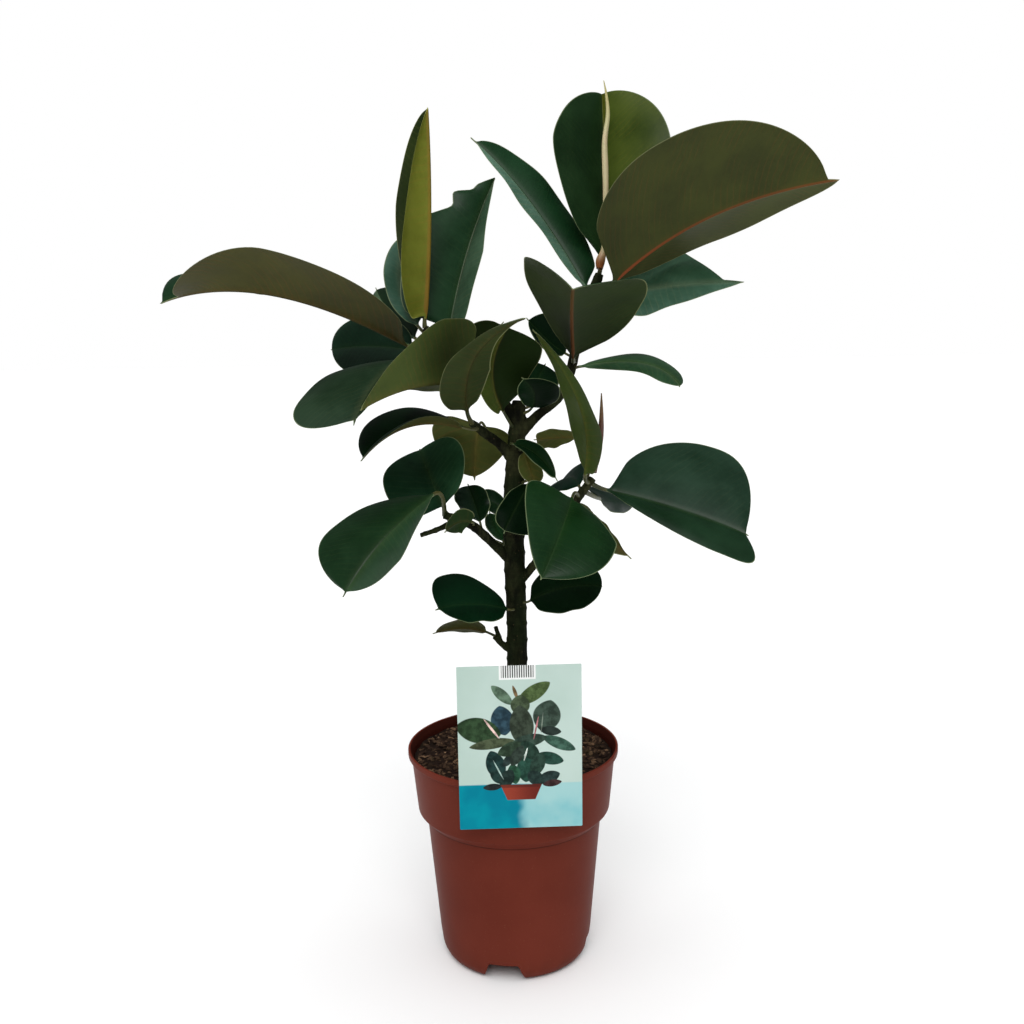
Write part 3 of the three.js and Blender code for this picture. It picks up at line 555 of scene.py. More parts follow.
def label_finish():
    """The printed card: sky and a painted table, with a potted plant of no particular variety."""
    f = Finish("printed_card", 0.45, 0.05)
    place = f.attribute("card").outputs["Vector"]
    x, z, front = f.split(place)
    sky = f.mix(f.span(f.noise(14.0, 3.0), 0.35, 0.65), linear(182, 204, 194), linear(192, 212, 204))
    blue = f.mix(f.span(f.noise(30.0, 3.0), 0.4, 0.6), linear(0, 124, 146), linear(0, 142, 158))
    pale = f.mix(f.span(f.noise(24.0, 3.0), 0.4, 0.7), linear(160, 204, 204), linear(126, 190, 196))
    right = f.span(f.plus(x, f.times(f.noise(50.0, 2.0), 20.0)), 58.0, 70.0)
    table = f.mix(right, blue, pale)
    body = f.mix(f.span(z, *SKYLINE, 1.0, 0.0), sky, table)

    def pictured_leaf(centre_x, centre_z, half_long, half_wide, angle):
        """How far out a point lies in the leaf: 0 at its middle, 1 on its outline."""
        inputs = {"Vector": place, "Location": (centre_x, centre_z, 0),
                  "Scale": (half_long, half_wide, 1), "Rotation": (0, 0, math.radians(angle))}
        u, v, _ = f.split(f.node("Mapping", inputs, vector_type="TEXTURE").outputs[0])
        return f.plus(f.times(u, u), f.maths("POWER", f.size(v), 1.4))

    mottle = f.span(f.noise(170.0, 4.0, 0.6), 0.35, 0.65)
    for centre_x, centre_z, half_long, half_wide, angle, colour in PICTURED_LEAVES + PICTURED_RIBS:
        out = pictured_leaf(centre_x, centre_z, half_long, half_wide, angle)
        darker = linear(*[c * 0.78 for c in colour])
        brighter = linear(*[min(255, c * 1.1 + 6) for c in colour])
        ink = f.mix(mottle, darker, brighter)
        body = f.mix(f.span(out, 0.95, 1.05, 1.0, 0.0), body, ink)
    # the pictured pot: a tapering bowl
    from_middle = f.size(f.minus(x, BOWL_X))
    half_width = f.plus(f.times(f.minus(z, BOWL_FOOT_Z), BOWL_FLARE), BOWL_FOOT_HALF)
    past_side = f.minus(from_middle, half_width)
    bowl = f.times(f.span(past_side, -0.2, 0.3, 1.0, 0.0), f.span(z, 24.8, 25.4))
    bowl = f.times(bowl, f.span(z, 38.4, 38.9, 1.0, 0.0))
    clay = f.mix(f.span(x, 38.0, 66.0), linear(146, 62, 46), linear(104, 40, 32))
    clay = f.mix(f.span(z, 35.6, 36.4, 0.0, 0.55), clay, linear(70, 34, 30))
    body = f.mix(bowl, body, clay)
    # a white field with evenly spaced bars
    across = f.size(f.minus(x, FIELD_X))
    field = f.times(f.span(across, 15.0, 15.4, 1.0, 0.0), f.span(z, FIELD_Z, FIELD_Z + 0.4))
    body = f.mix(field, body, linear(240, 242, 240))
    bars = f.span(f.maths("SINE", f.times(x, 2 * math.pi / BAR_SPACING)), -0.1, 0.1)
    bars = f.times(bars, f.span(across, 13.3, 13.5, 1.0, 0.0))
    bars = f.times(bars, f.span(z, 131.6, 131.9))
    body = f.mix(bars, body, linear(60, 62, 62))
    back = f.mix(f.span(f.noise(200.0, 3.0), 0.4, 0.6), linear(222, 226, 222), linear(212, 218, 214))
    body = f.mix(f.span(front, 0.4, 0.6), back, body)
    rough = f.span(f.noise(40.0, 3.0), 0.3, 0.7, 0.34, 0.44)
    return f.finish(body, rough, f.bump(f.noise(1200.0, 2.0), 0.05, 0.2))


# ---- meshes ----
def placed(name, data):
    """A new object in the scene."""
    made = bpy.data.objects.new(name, data)
    bpy.context.scene.collection.objects.link(made)
    return made


def piece(name, mesh, materials, node):
    """One finished piece in the frame; it stands for a CAD node, if one is named."""
    for material in materials:
        mesh.materials.append(material)
    made = placed(name, mesh)
    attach(made, "root")
    if node:
        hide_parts(node)


def joined(name, meshes, outwards=False):
    """One mesh out of several, if wanted with every face turned outwards."""
    bm = bmesh.new()
    for mesh in meshes:
        bm.from_mesh(mesh)
        bpy.data.meshes.remove(mesh)
    if outwards:
        bmesh.ops.recalc_face_normals(bm, faces=bm.faces)
    result = bpy.data.meshes.new(name)
    bm.to_mesh(result)
    bm.free()
    return result


def set_values(mesh, name, kind, values):
    """Writes one value per vertex: kind is FLOAT, FLOAT_VECTOR or FLOAT_COLOR."""
    field = {"FLOAT": "value", "FLOAT_VECTOR": "vector", "FLOAT_COLOR": "color"}[kind]
    layer = mesh.attributes.new(name, kind, "POINT")
    flat = values if kind == "FLOAT" else [part for value in values for part in value]
    layer.data.foreach_set(field, flat)


def from_lists(name, points, faces, smooth=True):
    mesh = bpy.data.meshes.new(name)
    mesh.from_pydata([Vector(p) * MM for p in points], [], faces)
    mesh.polygons.foreach_set("use_smooth", [smooth] * len(faces))
    mesh.update()
    return mesh


def lerp(a, b, share):
    return a + (b - a) * share


def ease(x):
    x = min(1, max(0, x))
    return x * x * (3 - 2 * x)


def skin(rings, start, end):
    """(points, faces) of a closed skin over rings of points; both ends close on a point."""
    count = len(rings[0])
    points = [start] + [p for ring in rings for p in ring] + [end]
    last = len(points) - 1
    faces = []
    for i in range(count):
        j = (i + 1) % count
        faces.append((0, 1 + j, 1 + i))
        for r in range(len(rings) - 1):
            low = 1 + r * count
            faces.append((low + i, low + j, low + count + j, low + count + i))
        faces.append((last, last - count + i, last - count + j))
    return points, faces


def catmull_rom(points, share):
    """The point (x, y, z, radius) at a share of the way through the list."""
    spans = len(points) - 1
    k = min(int(share * spans), spans - 1)
    u = share * spans - k
    p1, p2 = Vector(points[k]), Vector(points[k + 1])
    p0 = Vector(points[k - 1]) if k else p1 * 2 - p2
    p3 = Vector(points[k + 2]) if k + 2 <= spans else p2 * 2 - p1
    return 0.5 * (p1 * 2 + (p2 - p0) * u + (p0 * 2 - p1 * 5 + p2 * 4 - p3) * u * u
                  + (p1 * 3 - p0 - p2 * 3 + p3) * u * u * u)


def tube(points, sides, steps, swell=lambda at, angle: 0.0):
    """(points, faces) of a round tube through (x, y, z, radius) points; swell adds to the radius."""
    line = [catmull_rom(points, s / steps) for s in range(steps + 1)]
    rings = []
    across = None
    for s, at in enumerate(line):
        here = at.to_3d()
        ahead = line[min(s + 1, steps)].to_3d() - line[max(s - 1, 0)].to_3d()
        ahead.normalize()
        if across is None:
            across = ahead.orthogonal().normalized()
        across = (across - ahead * across.dot(ahead)).normalized()
        other = ahead.cross(across)
        ring = []
        for i in range(sides):
            angle = 2 * math.pi * i / sides
            out = across * math.cos(angle) + other * math.sin(angle)
            ring.append(here + out * (at[3] + swell(here, angle)))
        rings.append(ring)
    return skin(rings, line[0].to_3d(), line[-1].to_3d())


def lathe(profile, segments, lift=None):
    """(points, faces) of an (r, z) outline turned about Z; lift moves each point."""
    points, rows = [], []
    for r, z in profile:
        if r < 1e-6:
            rows.append([len(points)] * segments)
            points.append(Vector((0, 0, z)))
        else:
            rows.append(list(range(len(points), len(points) + segments)))
            for i in range(segments):
                angle = 2 * math.pi * i / segments
                points.append(Vector((r * math.cos(angle), r * math.sin(angle), z)))
    if lift:
        points = [lift(p) for p in points]
    faces = []
    for low, high in zip(rows, rows[1:]):
        for i in range(segments):
            j = (i + 1) % segments
            face = list(dict.fromkeys((low[i], low[j], high[j], high[i])))
            if len(face) > 2:
                faces.append(face)
    return points, faces


def rounded(outline, radius, steps=4):
    """The outline with every inner corner replaced by a small curve."""
    result = [outline[0]]
    for before, corner, after in zip(outline, outline[1:], outline[2:]):
        b, c, a = Vector(before), Vector(corner), Vector(after)
        cut = min(radius, (b - c).length * 0.45, (a - c).length * 0.45)
        start, end = c + (b - c).normalized() * cut, c + (a - c).normalized() * cut
        for s in range(steps + 1):
            u = s / steps
            result.append(tuple(start * (1 - u) ** 2 + c * 2 * u * (1 - u) + end * u * u))
    result.append(outline[-1])
    return result


def modified(mesh, *settings):
    """A copy of the mesh with modifiers applied; each setting is (type, {name: value})."""
    helper = placed("helper", mesh)
    for kind, values in settings:
        modifier = helper.modifiers.new(kind, kind)
        for key, value in values.items():
            setattr(modifier, key, value)
    evaluated = helper.evaluated_get(bpy.context.evaluated_depsgraph_get())
    result = bpy.data.meshes.new_from_object(evaluated)
    bpy.data.objects.remove(helper)
    return result


# ---- leaves ----
def shape_of(leaf, key, side):
    value = leaf.get(key, DEFAULT_SHAPE[key])
    return value[side] if isinstance(value, tuple) else value


def margin_share(t, leaf, side):
    """The half's width at t, as a share of its widest."""
    widest, end, blunt, full = (shape_of(leaf, key, side) for key in ("widest", "end", "blunt", "full"))
    drip = 0.055 * min(1, (1 - t) / 0.12) ** 0.8 if t > 0.8 else 0
    if t < widest:
        return max(0, 1 - ((widest - t) / widest) ** full) ** (1 / full)
    s = min(1, (t - widest) / (end - widest))
    return max(drip, (1 - s ** blunt) ** max(0.62, 1 / blunt))


def tear_share(t):
    for (t0, s0), (t1, s1) in zip(TEAR, TEAR[1:]):
        if t <= t1:
            return lerp(s0, s1, (t - t0) / (t1 - t0))
    return 0


BLADE_RINGS = 64
STALK_RINGS = 8
HALF_POINTS = 10
BASE_BLEND = 0.06


def leaf_mesh(name, leaf):
    """A closed leaf: a round stalk that flattens into a blade, grooved above and with a rib beneath."""
    base, mid, tip = Vector(leaf["base"]), Vector(leaf["mid"]), Vector(leaf["tip"])
    control = mid * 2 - base * 0.5 - tip * 0.5
    wave_size = DRAWS.uniform(0.5, 1.0)
    wave_count = DRAWS.uniform(1.6, 3.0)
    wave_start = [DRAWS.uniform(0, 1), DRAWS.uniform(0, 1)]
    shade = DRAWS.uniform(0.88, 1.14)
    length = (mid - base).length + (tip - mid).length
    slim = min(1, max(0.62, length / 130))

    def rib_at(t):
        return base * (1 - t) ** 2 + control * 2 * t * (1 - t) + tip * t * t

    def ahead_at(t):
        return ((control - base) * (1 - t) + (tip - control) * t).normalized()

    halves = []
    for side, margin in enumerate((leaf["left"], leaf["right"])):
        widest = shape_of(leaf, "widest", side)
        halves.append((widest, ahead_at(widest), Vector(margin) - rib_at(widest)))

    def frame_at(t):
        """The two full-width reaches at t, each with its upward normal, and the midrib's own."""
        ahead = ahead_at(t)
        reaches = []
        for widest, forward, reach in halves:
            twisted = (max(0, t - widest) / (1 - widest)) ** 1.5
            turn = Quaternion(ahead, math.radians(leaf.get("twist", 0)) * twisted)
            reaches.append(turn @ (forward.rotation_difference(ahead) @ reach))
        up_left = ahead.cross(reaches[0]).normalized()
        up_right = reaches[1].cross(ahead).normalized()
        return ahead, reaches, (up_left, up_right), (up_left + up_right).normalized()

    points, coordinates, rings = [], [], []
    # the per-half tints, mostly painted shade and painted sheen, go on the side that is at the front
    tints = {"shade_sheen_tint_above": [], "shade_sheen_tint_beneath": []}
    pairs = dict.fromkeys(tints, (PLAIN, PLAIN))
    pairs["shade_sheen_tint_beneath" if name in SEEN_BENEATH else "shade_sheen_tint_above"] = SHADE_AND_SHEEN_TINTS.get(name, (PLAIN, PLAIN))
    rib_red = RED_RIBS.get(name, COMMON_RIB)

    def keep(point, along, across, rim, side):
        rings[-1].append(point)
        coordinates.append((along, across, rim))
        for tint_name, pair in pairs.items():
            tints[tint_name].append((*[shade * c for c in pair[side]], rib_red))

    def circle(centre, right, up, radius):
        ring = []
        for k in range(4 * HALF_POINTS):
            angle = math.pi * (1 - k / (2 * HALF_POINTS))
            ring.append(centre + (right * math.cos(angle) + up * math.sin(angle)) * radius)
        return ring

    # the stalk, from its branch to the blade
    start = Vector(leaf["at"])
    ahead, _, _, up = frame_at(0)
    right = ahead.cross(up)
    pull = (base - start).length * 0.45
    handle_in = base - ahead * pull
    handle_out = start + (handle_in - start) * 0.4
    stalk_length = (base - start).length
    root_radius = STALK_RADIUS * slim
    neck_radius = (STALK_RADIUS - 0.5) * slim
    for i in range(STALK_RINGS):
        s = i / STALK_RINGS
        centre = (start * (1 - s) ** 3 + handle_out * 3 * s * (1 - s) ** 2
                  + handle_in * 3 * s * s * (1 - s) + base * s ** 3)
        way = ((handle_out - start) * (1 - s) ** 2 + (handle_in - handle_out) * 2 * s * (1 - s)
               + (base - handle_in) * s * s).normalized()
        turn = ahead.rotation_difference(way)
        rings.append([])
        for point in circle(centre, turn @ right, turn @ up, lerp(root_radius, neck_radius, ease(s))):
            keep(point, (s - 1) * stalk_length, 0, 3, 0)

    # the blade
    for i in range(BLADE_RINGS):
        x = i / BLADE_RINGS
        t = lerp(x, (1 - math.cos(math.pi * x)) / 2, 0.55)
        ahead, reaches, ups, up = frame_at(t)
        at = rib_at(t)
        shares = [margin_share(t, leaf, 0), margin_share(t, leaf, 1)]
        if leaf.get("torn"):
            shares[0] = min(shares[0], tear_share(t))
        rib_high = lerp(RIB_THICK, 0.5, t ** 0.7) * slim
        round_off = ease(t / BASE_BLEND)
        neck = circle(at, ahead.cross(up), up, neck_radius)
        rings.append([])
        order = [(k, 1) for k in range(-HALF_POINTS, HALF_POINTS + 1)]
        order += [(k, -1) for k in range(HALF_POINTS - 1, -HALF_POINTS, -1)]
        for index, (k, face) in enumerate(order):
            side = 0 if k < 0 else 1
            u = (abs(k) / HALF_POINTS) ** 1.6
            width = max(shares[side] * reaches[side].length, 0.5)
            away = u * width
            normal = ups[side] if k else up
            arch = leaf.get("camber", 0.05) * width * 4 * u * (1 - u)
            phase = wave_count * t + wave_start[side]
            wave = wave_size * math.sin(2 * math.pi * phase) * u * u * shares[side]
            half = BLADE_THICK / 2 * (1 - 0.75 * u ** 4) if u < 1 else 0
            if face > 0:
                lift = half - 0.45 * slim * math.exp(-(away / 1.3) ** 2)
            else:
                lift = -half - rib_high * math.exp(-(away / (1.5 * slim)) ** 2)
            point = at + reaches[side].normalized() * away + normal * (arch + wave + lift)
            across = away if side else -away
            keep(neck[index].lerp(point, round_off), t * length, across, width - away, side)

    points, faces = skin(rings, start, tip)
    coordinates = [(-stalk_length, 0, 3)] + coordinates + [(length, 0, 0)]
    mesh = from_lists(name, points, faces)
    set_values(mesh, "blade", "FLOAT_VECTOR", coordinates)
    for tint_name, values in tints.items():
        set_values(mesh, tint_name, "FLOAT_COLOR", [values[0]] + values + [values[-1]])

    count = 4 * HALF_POINTS
    for polygon in mesh.polygons:
        places = [divmod(v - 1, count) for v in polygon.vertices]
        ring = max(r for r, _ in places if r <= len(rings))
        if ring <= STALK_RINGS:
            polygon.material_index = 2
        elif max(s for _, s in places) > 2 * HALF_POINTS:
            polygon.material_index = 1
    sharp = mesh.attributes.new("sharp_edge", "BOOLEAN", "EDGE")
    for edge in mesh.edges:
        (r0, s0), (r1, s1) = (divmod(v - 1, count) for v in edge.vertices)
        on_margin = s0 == s1 and s0 in (0, 2 * HALF_POINTS) and abs(r0 - r1) == 1
        sharp.data[edge.index].value = on_margin and min(r0, r1) > STALK_RINGS + 3
    return mesh


# ---- pot, soil, stem and label ----
def pot_mesh():
    wall = POT_WALL
    outer = [(FOOT_RADIUS, 0), (65.5, 3), (68.5, 9), (BODY_LOW_RADIUS, BODY_LOW_Z),
             (BODY_TOP_RADIUS, STEP_LOW_Z), (COLLAR_LOW_RADIUS, STEP_HIGH_Z),
             (COLLAR_TOP_RADIUS, LIP_Z - 0.5), (RIM_RADIUS, LIP_Z),
             (RIM_RADIUS, POT_HEIGHT), (RIM_RADIUS - 2, POT_HEIGHT)]
    inner = [(COLLAR_TOP_RADIUS - wall, LIP_Z), (COLLAR_LOW_RADIUS - wall, STEP_HIGH_Z + 0.6),
             (BODY_TOP_RADIUS - wall, STEP_LOW_Z + 0.6), (BODY_LOW_RADIUS - wall, BODY_LOW_Z),
             (67.6, FLOOR_TOP_Z), (0, FLOOR_TOP_Z)]
    under = [(0, FLOOR_UNDERSIDE_Z), (67.4, FLOOR_UNDERSIDE_Z), (66.8, 9.4), (63.8, 3.6),
             (FOOT_RADIUS - 2.4, 0)]
    foot = rounded(outer[:4], 5)
    body = rounded([foot[-1]] + outer[4:] + inner[:5], 1.2)
    profile = foot[:-1] + body + [inner[5]] + under + [outer[0]]
    points, faces = lathe(profile, 192)
    mesh = from_lists("pot", points, faces)
    cutters = []
    for i in range(NOTCH_COUNT):
        turn = 2 * math.pi * i / NOTCH_COUNT + NOTCH_TURN
        low, high = NOTCH_WIDTHS[0] / 2, NOTCH_WIDTHS[1] / 2
        round_top = [(high + 1.4, FLOOR_UNDERSIDE_Z - 1.6), (high - 0.2, FLOOR_UNDERSIDE_Z)]
        outline = [(low, -1)] + round_top + [(-x, z) for x, z in reversed(round_top)] + [(-low, -1)]
        cutters.append(prism([(x, y, z) for y in (-45, -80) for x, z in outline], len(outline), turn))
        angles = [2 * math.pi * s / DRAIN_SIDES for s in range(DRAIN_SIDES)]
        ring = [(DRAIN_RADIUS * math.cos(a), DRAIN_RADIUS * math.sin(a) - DRAIN_RING) for a in angles]
        drain = [(x, y, z) for z in (14, 22) for x, y in ring]
        cutters.append(prism(drain, DRAIN_SIDES, turn + math.pi / NOTCH_COUNT))
    tool = placed("cutters", joined("cutters", cutters, outwards=True))
    cut = modified(mesh, ("BOOLEAN", {"operation": "DIFFERENCE", "solver": "EXACT", "object": tool}))
    bpy.data.objects.remove(tool)
    cut.polygons.foreach_set("use_smooth", [True] * len(cut.polygons))
    cut.set_sharp_from_angle(angle=math.radians(38))
    return cut


def prism(points, count, turn):
    """A closed prism over two outlines of count points each, turned about Z."""
    spin = Matrix.Rotation(turn, 3, "Z")
    faces = [tuple(range(count)), tuple(range(2 * count - 1, count - 1, -1))]
    faces += [(i, count + i, count + (i + 1) % count, (i + 1) % count) for i in range(count)]
    return from_lists("prism", [spin @ Vector(p) for p in points], faces, False)


def soil_height(x, y):
    """The soil's surface, highest at the stem, with lumps."""
    r = math.hypot(x, y)
    crown = SOIL_CROWN * (1 - (r / 90) ** 2)
    lumps = noise.fractal(Vector((x / 13, y / 13, 3)), 0.6, 2.0, 4) * 1.8
    return SOIL_TOP_Z - 0.8 + crown * 0.8 + lumps


def soil_mesh():
    clear = POT_WALL + 0.5
    profile = [(0, FLOOR_TOP_Z + 0.4), (67, FLOOR_TOP_Z + 0.4), (BODY_LOW_RADIUS - clear, BODY_LOW_Z),
               (BODY_TOP_RADIUS - clear, STEP_LOW_Z + 0.4),
               (COLLAR_LOW_RADIUS - clear, STEP_HIGH_Z + 0.8), (SOIL_REACH, SOIL_TOP_Z - 5)]
    rows = 44
    profile += [(SOIL_REACH * (1 - k / rows), SOIL_TOP_Z) for k in range(rows)] + [(0, SOIL_TOP_Z)]

    def lift(p):
        if p.z < SOIL_TOP_Z - 1:
            return p
        return Vector((p.x, p.y, soil_height(p.x, p.y)))

    points, faces = lathe(profile, 160, lift)
    mesh = from_lists("soil", points, faces)
    set_values(mesh, "tone", "FLOAT", [0.2] * len(points))
    return mesh


def chips_mesh():
    """Bark and peat crumbs lying on the soil, each a small angular solid."""
    seed = bmesh.new()
    bmesh.ops.create_icosphere(seed, subdivisions=1, radius=1)
    corners = [v.co.copy() for v in seed.verts]
    triangles = [[v.index for v in face.verts] for face in seed.faces]
    seed.free()
    points, faces, tones = [], [], []
    for _ in range(CHIP_COUNT):
        r = CHIP_REACH * math.sqrt(DRAWS.random())
        angle = DRAWS.uniform(0, 2 * math.pi)
        size = DRAWS.choice(CHIP_SIZES)
        r = min(r, CHIP_REACH - size * 1.6)
        x, y = r * math.cos(angle), r * math.sin(angle)
        # chips that would lie in the trunk are moved out to its foot
        from_trunk = math.hypot(x - TRUNK_X, y)
        clear = TRUNK_CLEAR + size * 1.6
        if from_trunk < clear:
            x, y = TRUNK_X + (x - TRUNK_X) * clear / from_trunk, y * clear / from_trunk
        scale = Vector([DRAWS.uniform(low, high) for low, high in CHIP_SHAPE]) * size
        turn = Matrix.Rotation(DRAWS.uniform(0, 2 * math.pi), 3, "Z")
        for axis, tilt in CHIP_TILTS:
            turn = turn @ Matrix.Rotation(DRAWS.gauss(0, tilt), 3, axis)
        centre = Vector((x, y, soil_height(x, y) + scale.z * 0.6))
        first = len(points)
        for corner in corners:
            jag = Vector([DRAWS.uniform(0.7, 1.2) for _ in range(3)])
            points.append(centre + turn @ Vector([a * b * c for a, b, c in zip(corner, scale, jag)]))
        faces += [[first + i for i in triangle] for triangle in triangles]
        tone = max(0, DRAWS.gauss(0.16, 0.14)) if DRAWS.random() < 0.86 else DRAWS.uniform(0.5, 1.0)
        tones += [tone] * len(corners)
    mesh = from_lists("chips", points, faces, False)
    set_values(mesh, "tone", "FLOAT", tones)
    return mesh


# the heights of the trunk's leaf scars
NODE_RINGS = (
    214, 233, 249, 262, 279, 297, 312, 326, 345, 361, 377, 392, 408, 421, 436, 451, 468, 484, 497,
)


def stem_mesh():
    """The trunk and its branches as one skin, with leaf-scar rings."""
    def trunk_swell(here, angle):
        rings = sum(0.75 * math.exp(-((here.z - z) / 1.6) ** 2) for z in NODE_RINGS)
        place = Vector((here.x + 9 * math.cos(angle), 9 * math.sin(angle), here.z / 2.6))
        return rings + 0.55 * noise.noise(place / 4)

    def branch_swell(here, angle):
        way = (here - Vector((5, 0, 400))).length
        ring = 0.35 * max(0, math.sin(2 * math.pi * way / 9)) ** 6
        return ring + 0.25 * noise.noise(here / 3 + Vector((angle, 0, 0)))

    parts = []
    for name, points in BRANCHES.items():
        sides, swell = (40, trunk_swell) if name == "trunk" else (20, branch_swell)
        steps = 300 if name == "trunk" else 14 * len(points)
        parts.append(from_lists(name, *tube(points, sides, steps, swell)))
    whole = joined("stem", parts)
    skin_mesh = modified(whole, ("REMESH", {"mode": "VOXEL", "voxel_size": STEM_VOXEL * MM}),
                         ("SMOOTH", {"factor": 0.5, "iterations": 2}))
    skin_mesh.polygons.foreach_set("use_smooth", [True] * len(skin_mesh.polygons))
    return skin_mesh


def label_mesh():
    """The card and its tongue over the rim; `card` holds the place on the card and 1 at the front."""
    front_y = -(RIM_RADIUS + 0.6) - LABEL_THICK
    back_y = front_y + LABEL_THICK
    corner_steps = 3
    outline = []
    for cx, cz, start in ((1, 0, -90), (1, 1, 0), (0, 1, 90), (0, 0, 180)):
        x = LABEL_WIDTH - CARD_CORNER if cx else CARD_CORNER
        z = LABEL_HEIGHT - CARD_CORNER if cz else CARD_CORNER
        for s in range(corner_steps + 1):
            angle = math.radians(start + 90 * s / corner_steps)
            outline.append((x + CARD_CORNER * math.cos(angle), z + CARD_CORNER * math.sin(angle)))
    spin = Matrix.Rotation(LABEL_TURN, 3, "Z")

    def world(x, y, z):
        return spin @ Vector((x - LABEL_WIDTH / 2 + LABEL_SHIFT_X, y, z + LABEL_BOTTOM_Z))

    count = len(outline)
    rings = [(back_y, CARD_BEVEL), (back_y - CARD_BEVEL, 0),
             (front_y + CARD_BEVEL, 0), (front_y, CARD_BEVEL)]
    middle = Vector((LABEL_WIDTH / 2, LABEL_HEIGHT / 2))
    points, card = [], []
    for y, inset in rings:
        for x, z in outline:
            way = (middle - Vector((x, z))).normalized() * inset * 1.4
            points.append(world(x + way.x, y, z + way.y))
            card.append((x, z, 1 if y < back_y - LABEL_THICK / 2 else 0))
    faces = [tuple(range(count - 1, -1, -1)), tuple(range(3 * count, 4 * count))]
    for ring in range(3):
        low = ring * count
        faces += [(low + i, low + (i + 1) % count, low + count + (i + 1) % count, low + count + i)
                  for i in range(count)]
    # the tongue: a strip from the card's back, over the rim and down inside the pot
    inside = -(COLLAR_TOP_RADIUS - POT_WALL - 2.3)
    top = POT_HEIGHT + 0.5
    half = LABEL_THICK / 2
    corners = [(back_y + 0.05, top - 8), (back_y + 0.05 + half, top + half), (inside - half, top + half),
               (inside - half, top + LABEL_THICK - TONGUE_DROP)]
    centre_line = rounded(corners, 1.0, 5)[1:]
    first = len(points)
    strip = []
    for i, (y, z) in enumerate(centre_line):
        before, after = centre_line[max(i - 1, 0)], centre_line[min(i + 1, len(centre_line) - 1)]
        way = (Vector(after) - Vector(before)).normalized()
        normal = Vector((-way.y, way.x)) * LABEL_THICK / 2 * 0.9
        strip.append((y, z, normal))
    for y, z, normal in strip:
        for x, sign in ((-1, 1), (1, 1), (1, -1), (-1, -1)):
            corner = Vector((x * TONGUE_WIDTH / 2, y + normal.x * sign, z + normal.y * sign))
            points.append(spin @ corner)
            card.append((0, 0, 0))
    for i in range(len(strip) - 1):
        low = first + 4 * i
        for a, b in ((0, 1), (1, 2), (2, 3), (3, 0)):
            faces.append((low + a, low + b, low + 4 + b, low + 4 + a))
    end = first + 4 * (len(strip) - 1)
    faces += [(first + 3, first + 2, first + 1, first), (end, end + 1, end + 2, end + 3)]
    mesh = joined("label", [from_lists("label", points, faces, False)], outwards=True)
    set_values(mesh, "card", "FLOAT_VECTOR", card)
    return mesh


def slim_tube_mesh(name, points, steps, flat=0.0):
    """A fine tube, flattened by so much."""
    def swell(here, angle):
        return -flat * abs(math.sin(angle))

    return from_lists(name, *tube(points, 20, steps, swell))


# ---- the plant ----
leaf_upper = leaf_finish("leaf_upper", "shade_sheen_tint_above", GREEN_ABOVE, 0.36, 0.22, 0.025, 1.0)
# the shaded copy of the upper finish, with its reflection cut, is painted shade for leaves that lie in shade
shaded_upper = leaf_finish("leaf_upper_shaded", "shade_sheen_tint_above", GREEN_ABOVE, 0.45, 0.05, 0.025, 1.0)
leaf_under = leaf_finish("leaf_underside", "shade_sheen_tint_beneath", GREEN_BENEATH, 0.6, 0.08, 0.07, 1.9)
young_upper = leaf_finish("young_leaf_upper", "shade_sheen_tint_above", YOUNG_ABOVE, 0.42, 0.2, 0.1, 1.0)
young_under = leaf_finish("young_leaf_underside", "shade_sheen_tint_beneath", YOUNG_BENEATH, 0.5, 0.12, 0.1, 3.0)
stalk = stalk_finish()
for leaf_name, leaf_row in LEAVES.items():
    is_young = leaf_name == YOUNG_LEAF
    upper = shaded_upper if leaf_name in SHADED_LEAVES else leaf_upper
    sides = [young_upper, young_under, stalk] if is_young else [upper, leaf_under, stalk]
    piece(f"blade_{leaf_name}", leaf_mesh(leaf_name, leaf_row), sides, f"leaf_{leaf_name}")

piece("nursery_pot", pot_mesh(), [pot_finish()], "pot")
peat = soil_finish("peat", linear(24, 15, 11), linear(58, 40, 28))
crumbs = soil_finish("bark_crumbs", linear(38, 24, 17), linear(138, 108, 82))
piece("soil_surface", soil_mesh(), [peat], "soil")
piece("bark_chips", chips_mesh(), [crumbs], None)
piece("stem_bark", stem_mesh(), [bark_finish()], "stem")
piece("leaf_sheath", slim_tube_mesh("sheath", SHEATH, 60, 0.3), [sheath_finish()], "sheath")
piece("side_bud", slim_tube_mesh("bud", BUD, 36), [bud_finish()], "bud")
piece("picture_label", label_mesh(), [label_finish()], "label")


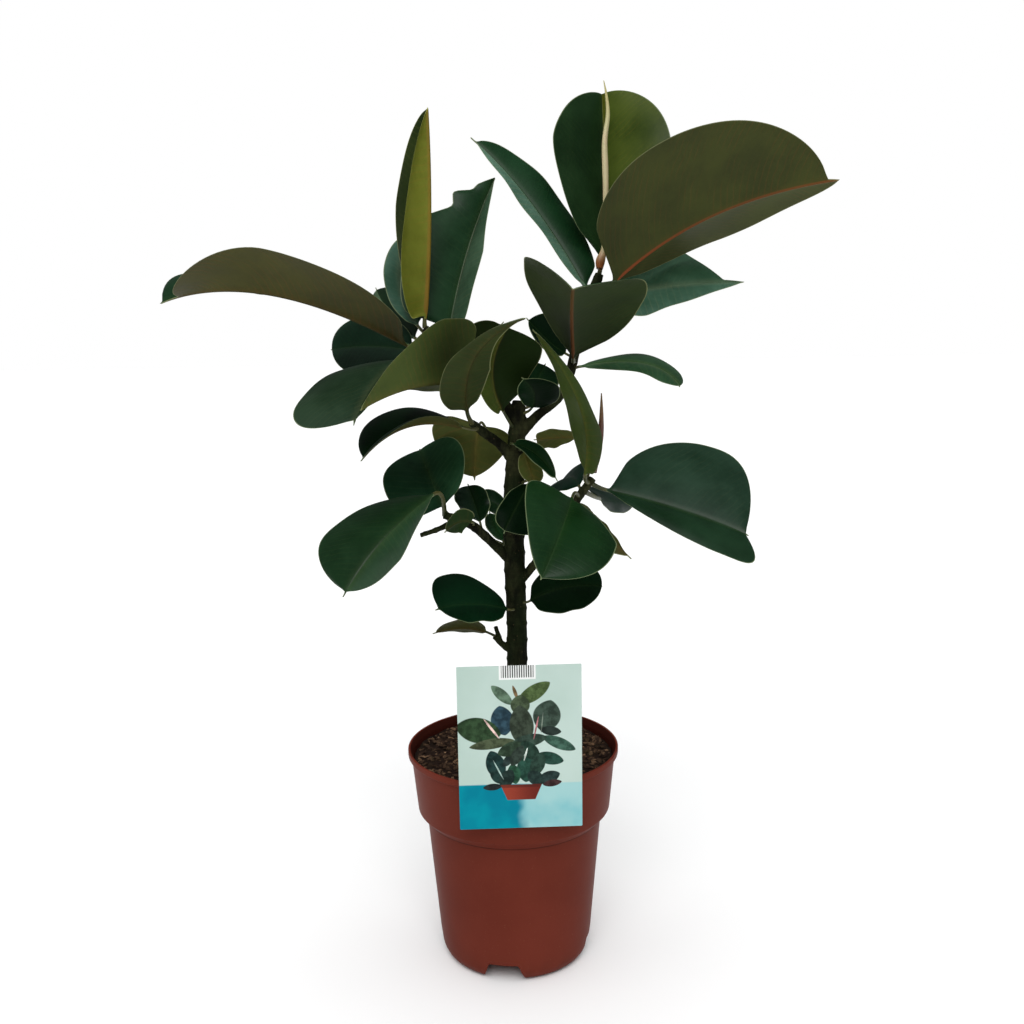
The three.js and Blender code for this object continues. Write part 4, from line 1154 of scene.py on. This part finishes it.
# ---- floor, light and camera ----
def floor():
    bm = bmesh.new()
    bmesh.ops.create_grid(bm, x_segments=8, y_segments=8, size=FLOOR_HALF)
    mesh = bpy.data.meshes.new("floor")
    bm.to_mesh(mesh)
    bm.free()
    f = Finish("studio_floor", 0.9, 0.1)
    colour = f.mix(f.span(f.noise(2.0, 2.0), 0.4, 0.6), linear(251, 251, 251), linear(253, 253, 253))
    mesh.materials.append(f.finish(colour))
    made = placed("studio_floor", mesh)
    made.location.z = -0.0005


def sun(name, strength, softness, tilt, turn, glossy=True):
    """A soft sun that shines from `tilt` degrees off the zenith, towards the azimuth `turn`."""
    light = bpy.data.lights.new(name, "SUN")
    light.energy = strength
    light.angle = math.radians(softness)
    made = placed(name, light)
    made.rotation_euler = (math.radians(tilt), 0, math.radians(turn))
    made.visible_glossy = glossy


def surroundings():
    """White behind the plant, and a dim room for everything that it lights or reflects in."""
    world = bpy.data.worlds.new("studio")
    world.use_nodes = True
    bpy.context.scene.world = world
    nodes, links = world.node_tree.nodes, world.node_tree.links
    shown = nodes["Background"]
    shown.inputs["Color"].default_value = (1, 1, 1, 1)
    shown.inputs["Strength"].default_value = 1.0
    dim = nodes.new("ShaderNodeBackground")
    dim.inputs["Color"].default_value = (0.95, 0.98, 1, 1)
    dim.inputs["Strength"].default_value = ROOM_GLOW
    path = nodes.new("ShaderNodeLightPath")
    both = nodes.new("ShaderNodeMixShader")
    links.new(path.outputs["Is Camera Ray"], both.inputs["Fac"])
    links.new(dim.outputs[0], both.inputs[1])
    links.new(shown.outputs[0], both.inputs[2])
    links.new(both.outputs[0], nodes["World Output"].inputs["Surface"])


def camera():
    """In front of the pot's axis, pitched down a little and rolled slightly."""
    data = bpy.data.cameras.new("camera")
    data.sensor_width = SENSOR_WIDTH
    data.lens = SENSOR_WIDTH * FOCAL_IN_WIDTHS
    data.shift_x = CAMERA_SHIFT
    data.clip_start = 0.05
    data.clip_end = 60
    made = placed("camera", data)
    pitch = Matrix.Rotation(math.radians(90 - CAMERA_PITCH), 4, "X")
    roll = Matrix.Rotation(math.radians(CAMERA_ROLL), 4, "Z")
    made.matrix_world = Matrix.Translation((0, -CAMERA_BACK, CAMERA_HEIGHT)) @ pitch @ roll
    bpy.context.scene.camera = made


floor()
surroundings()
sun("key", strength=1.25, softness=36, tilt=44, turn=-4)
sun("top", strength=2.45, softness=105, tilt=4, turn=0, glossy=False)
camera()
bpy.context.scene.view_settings.view_transform = "Standard"
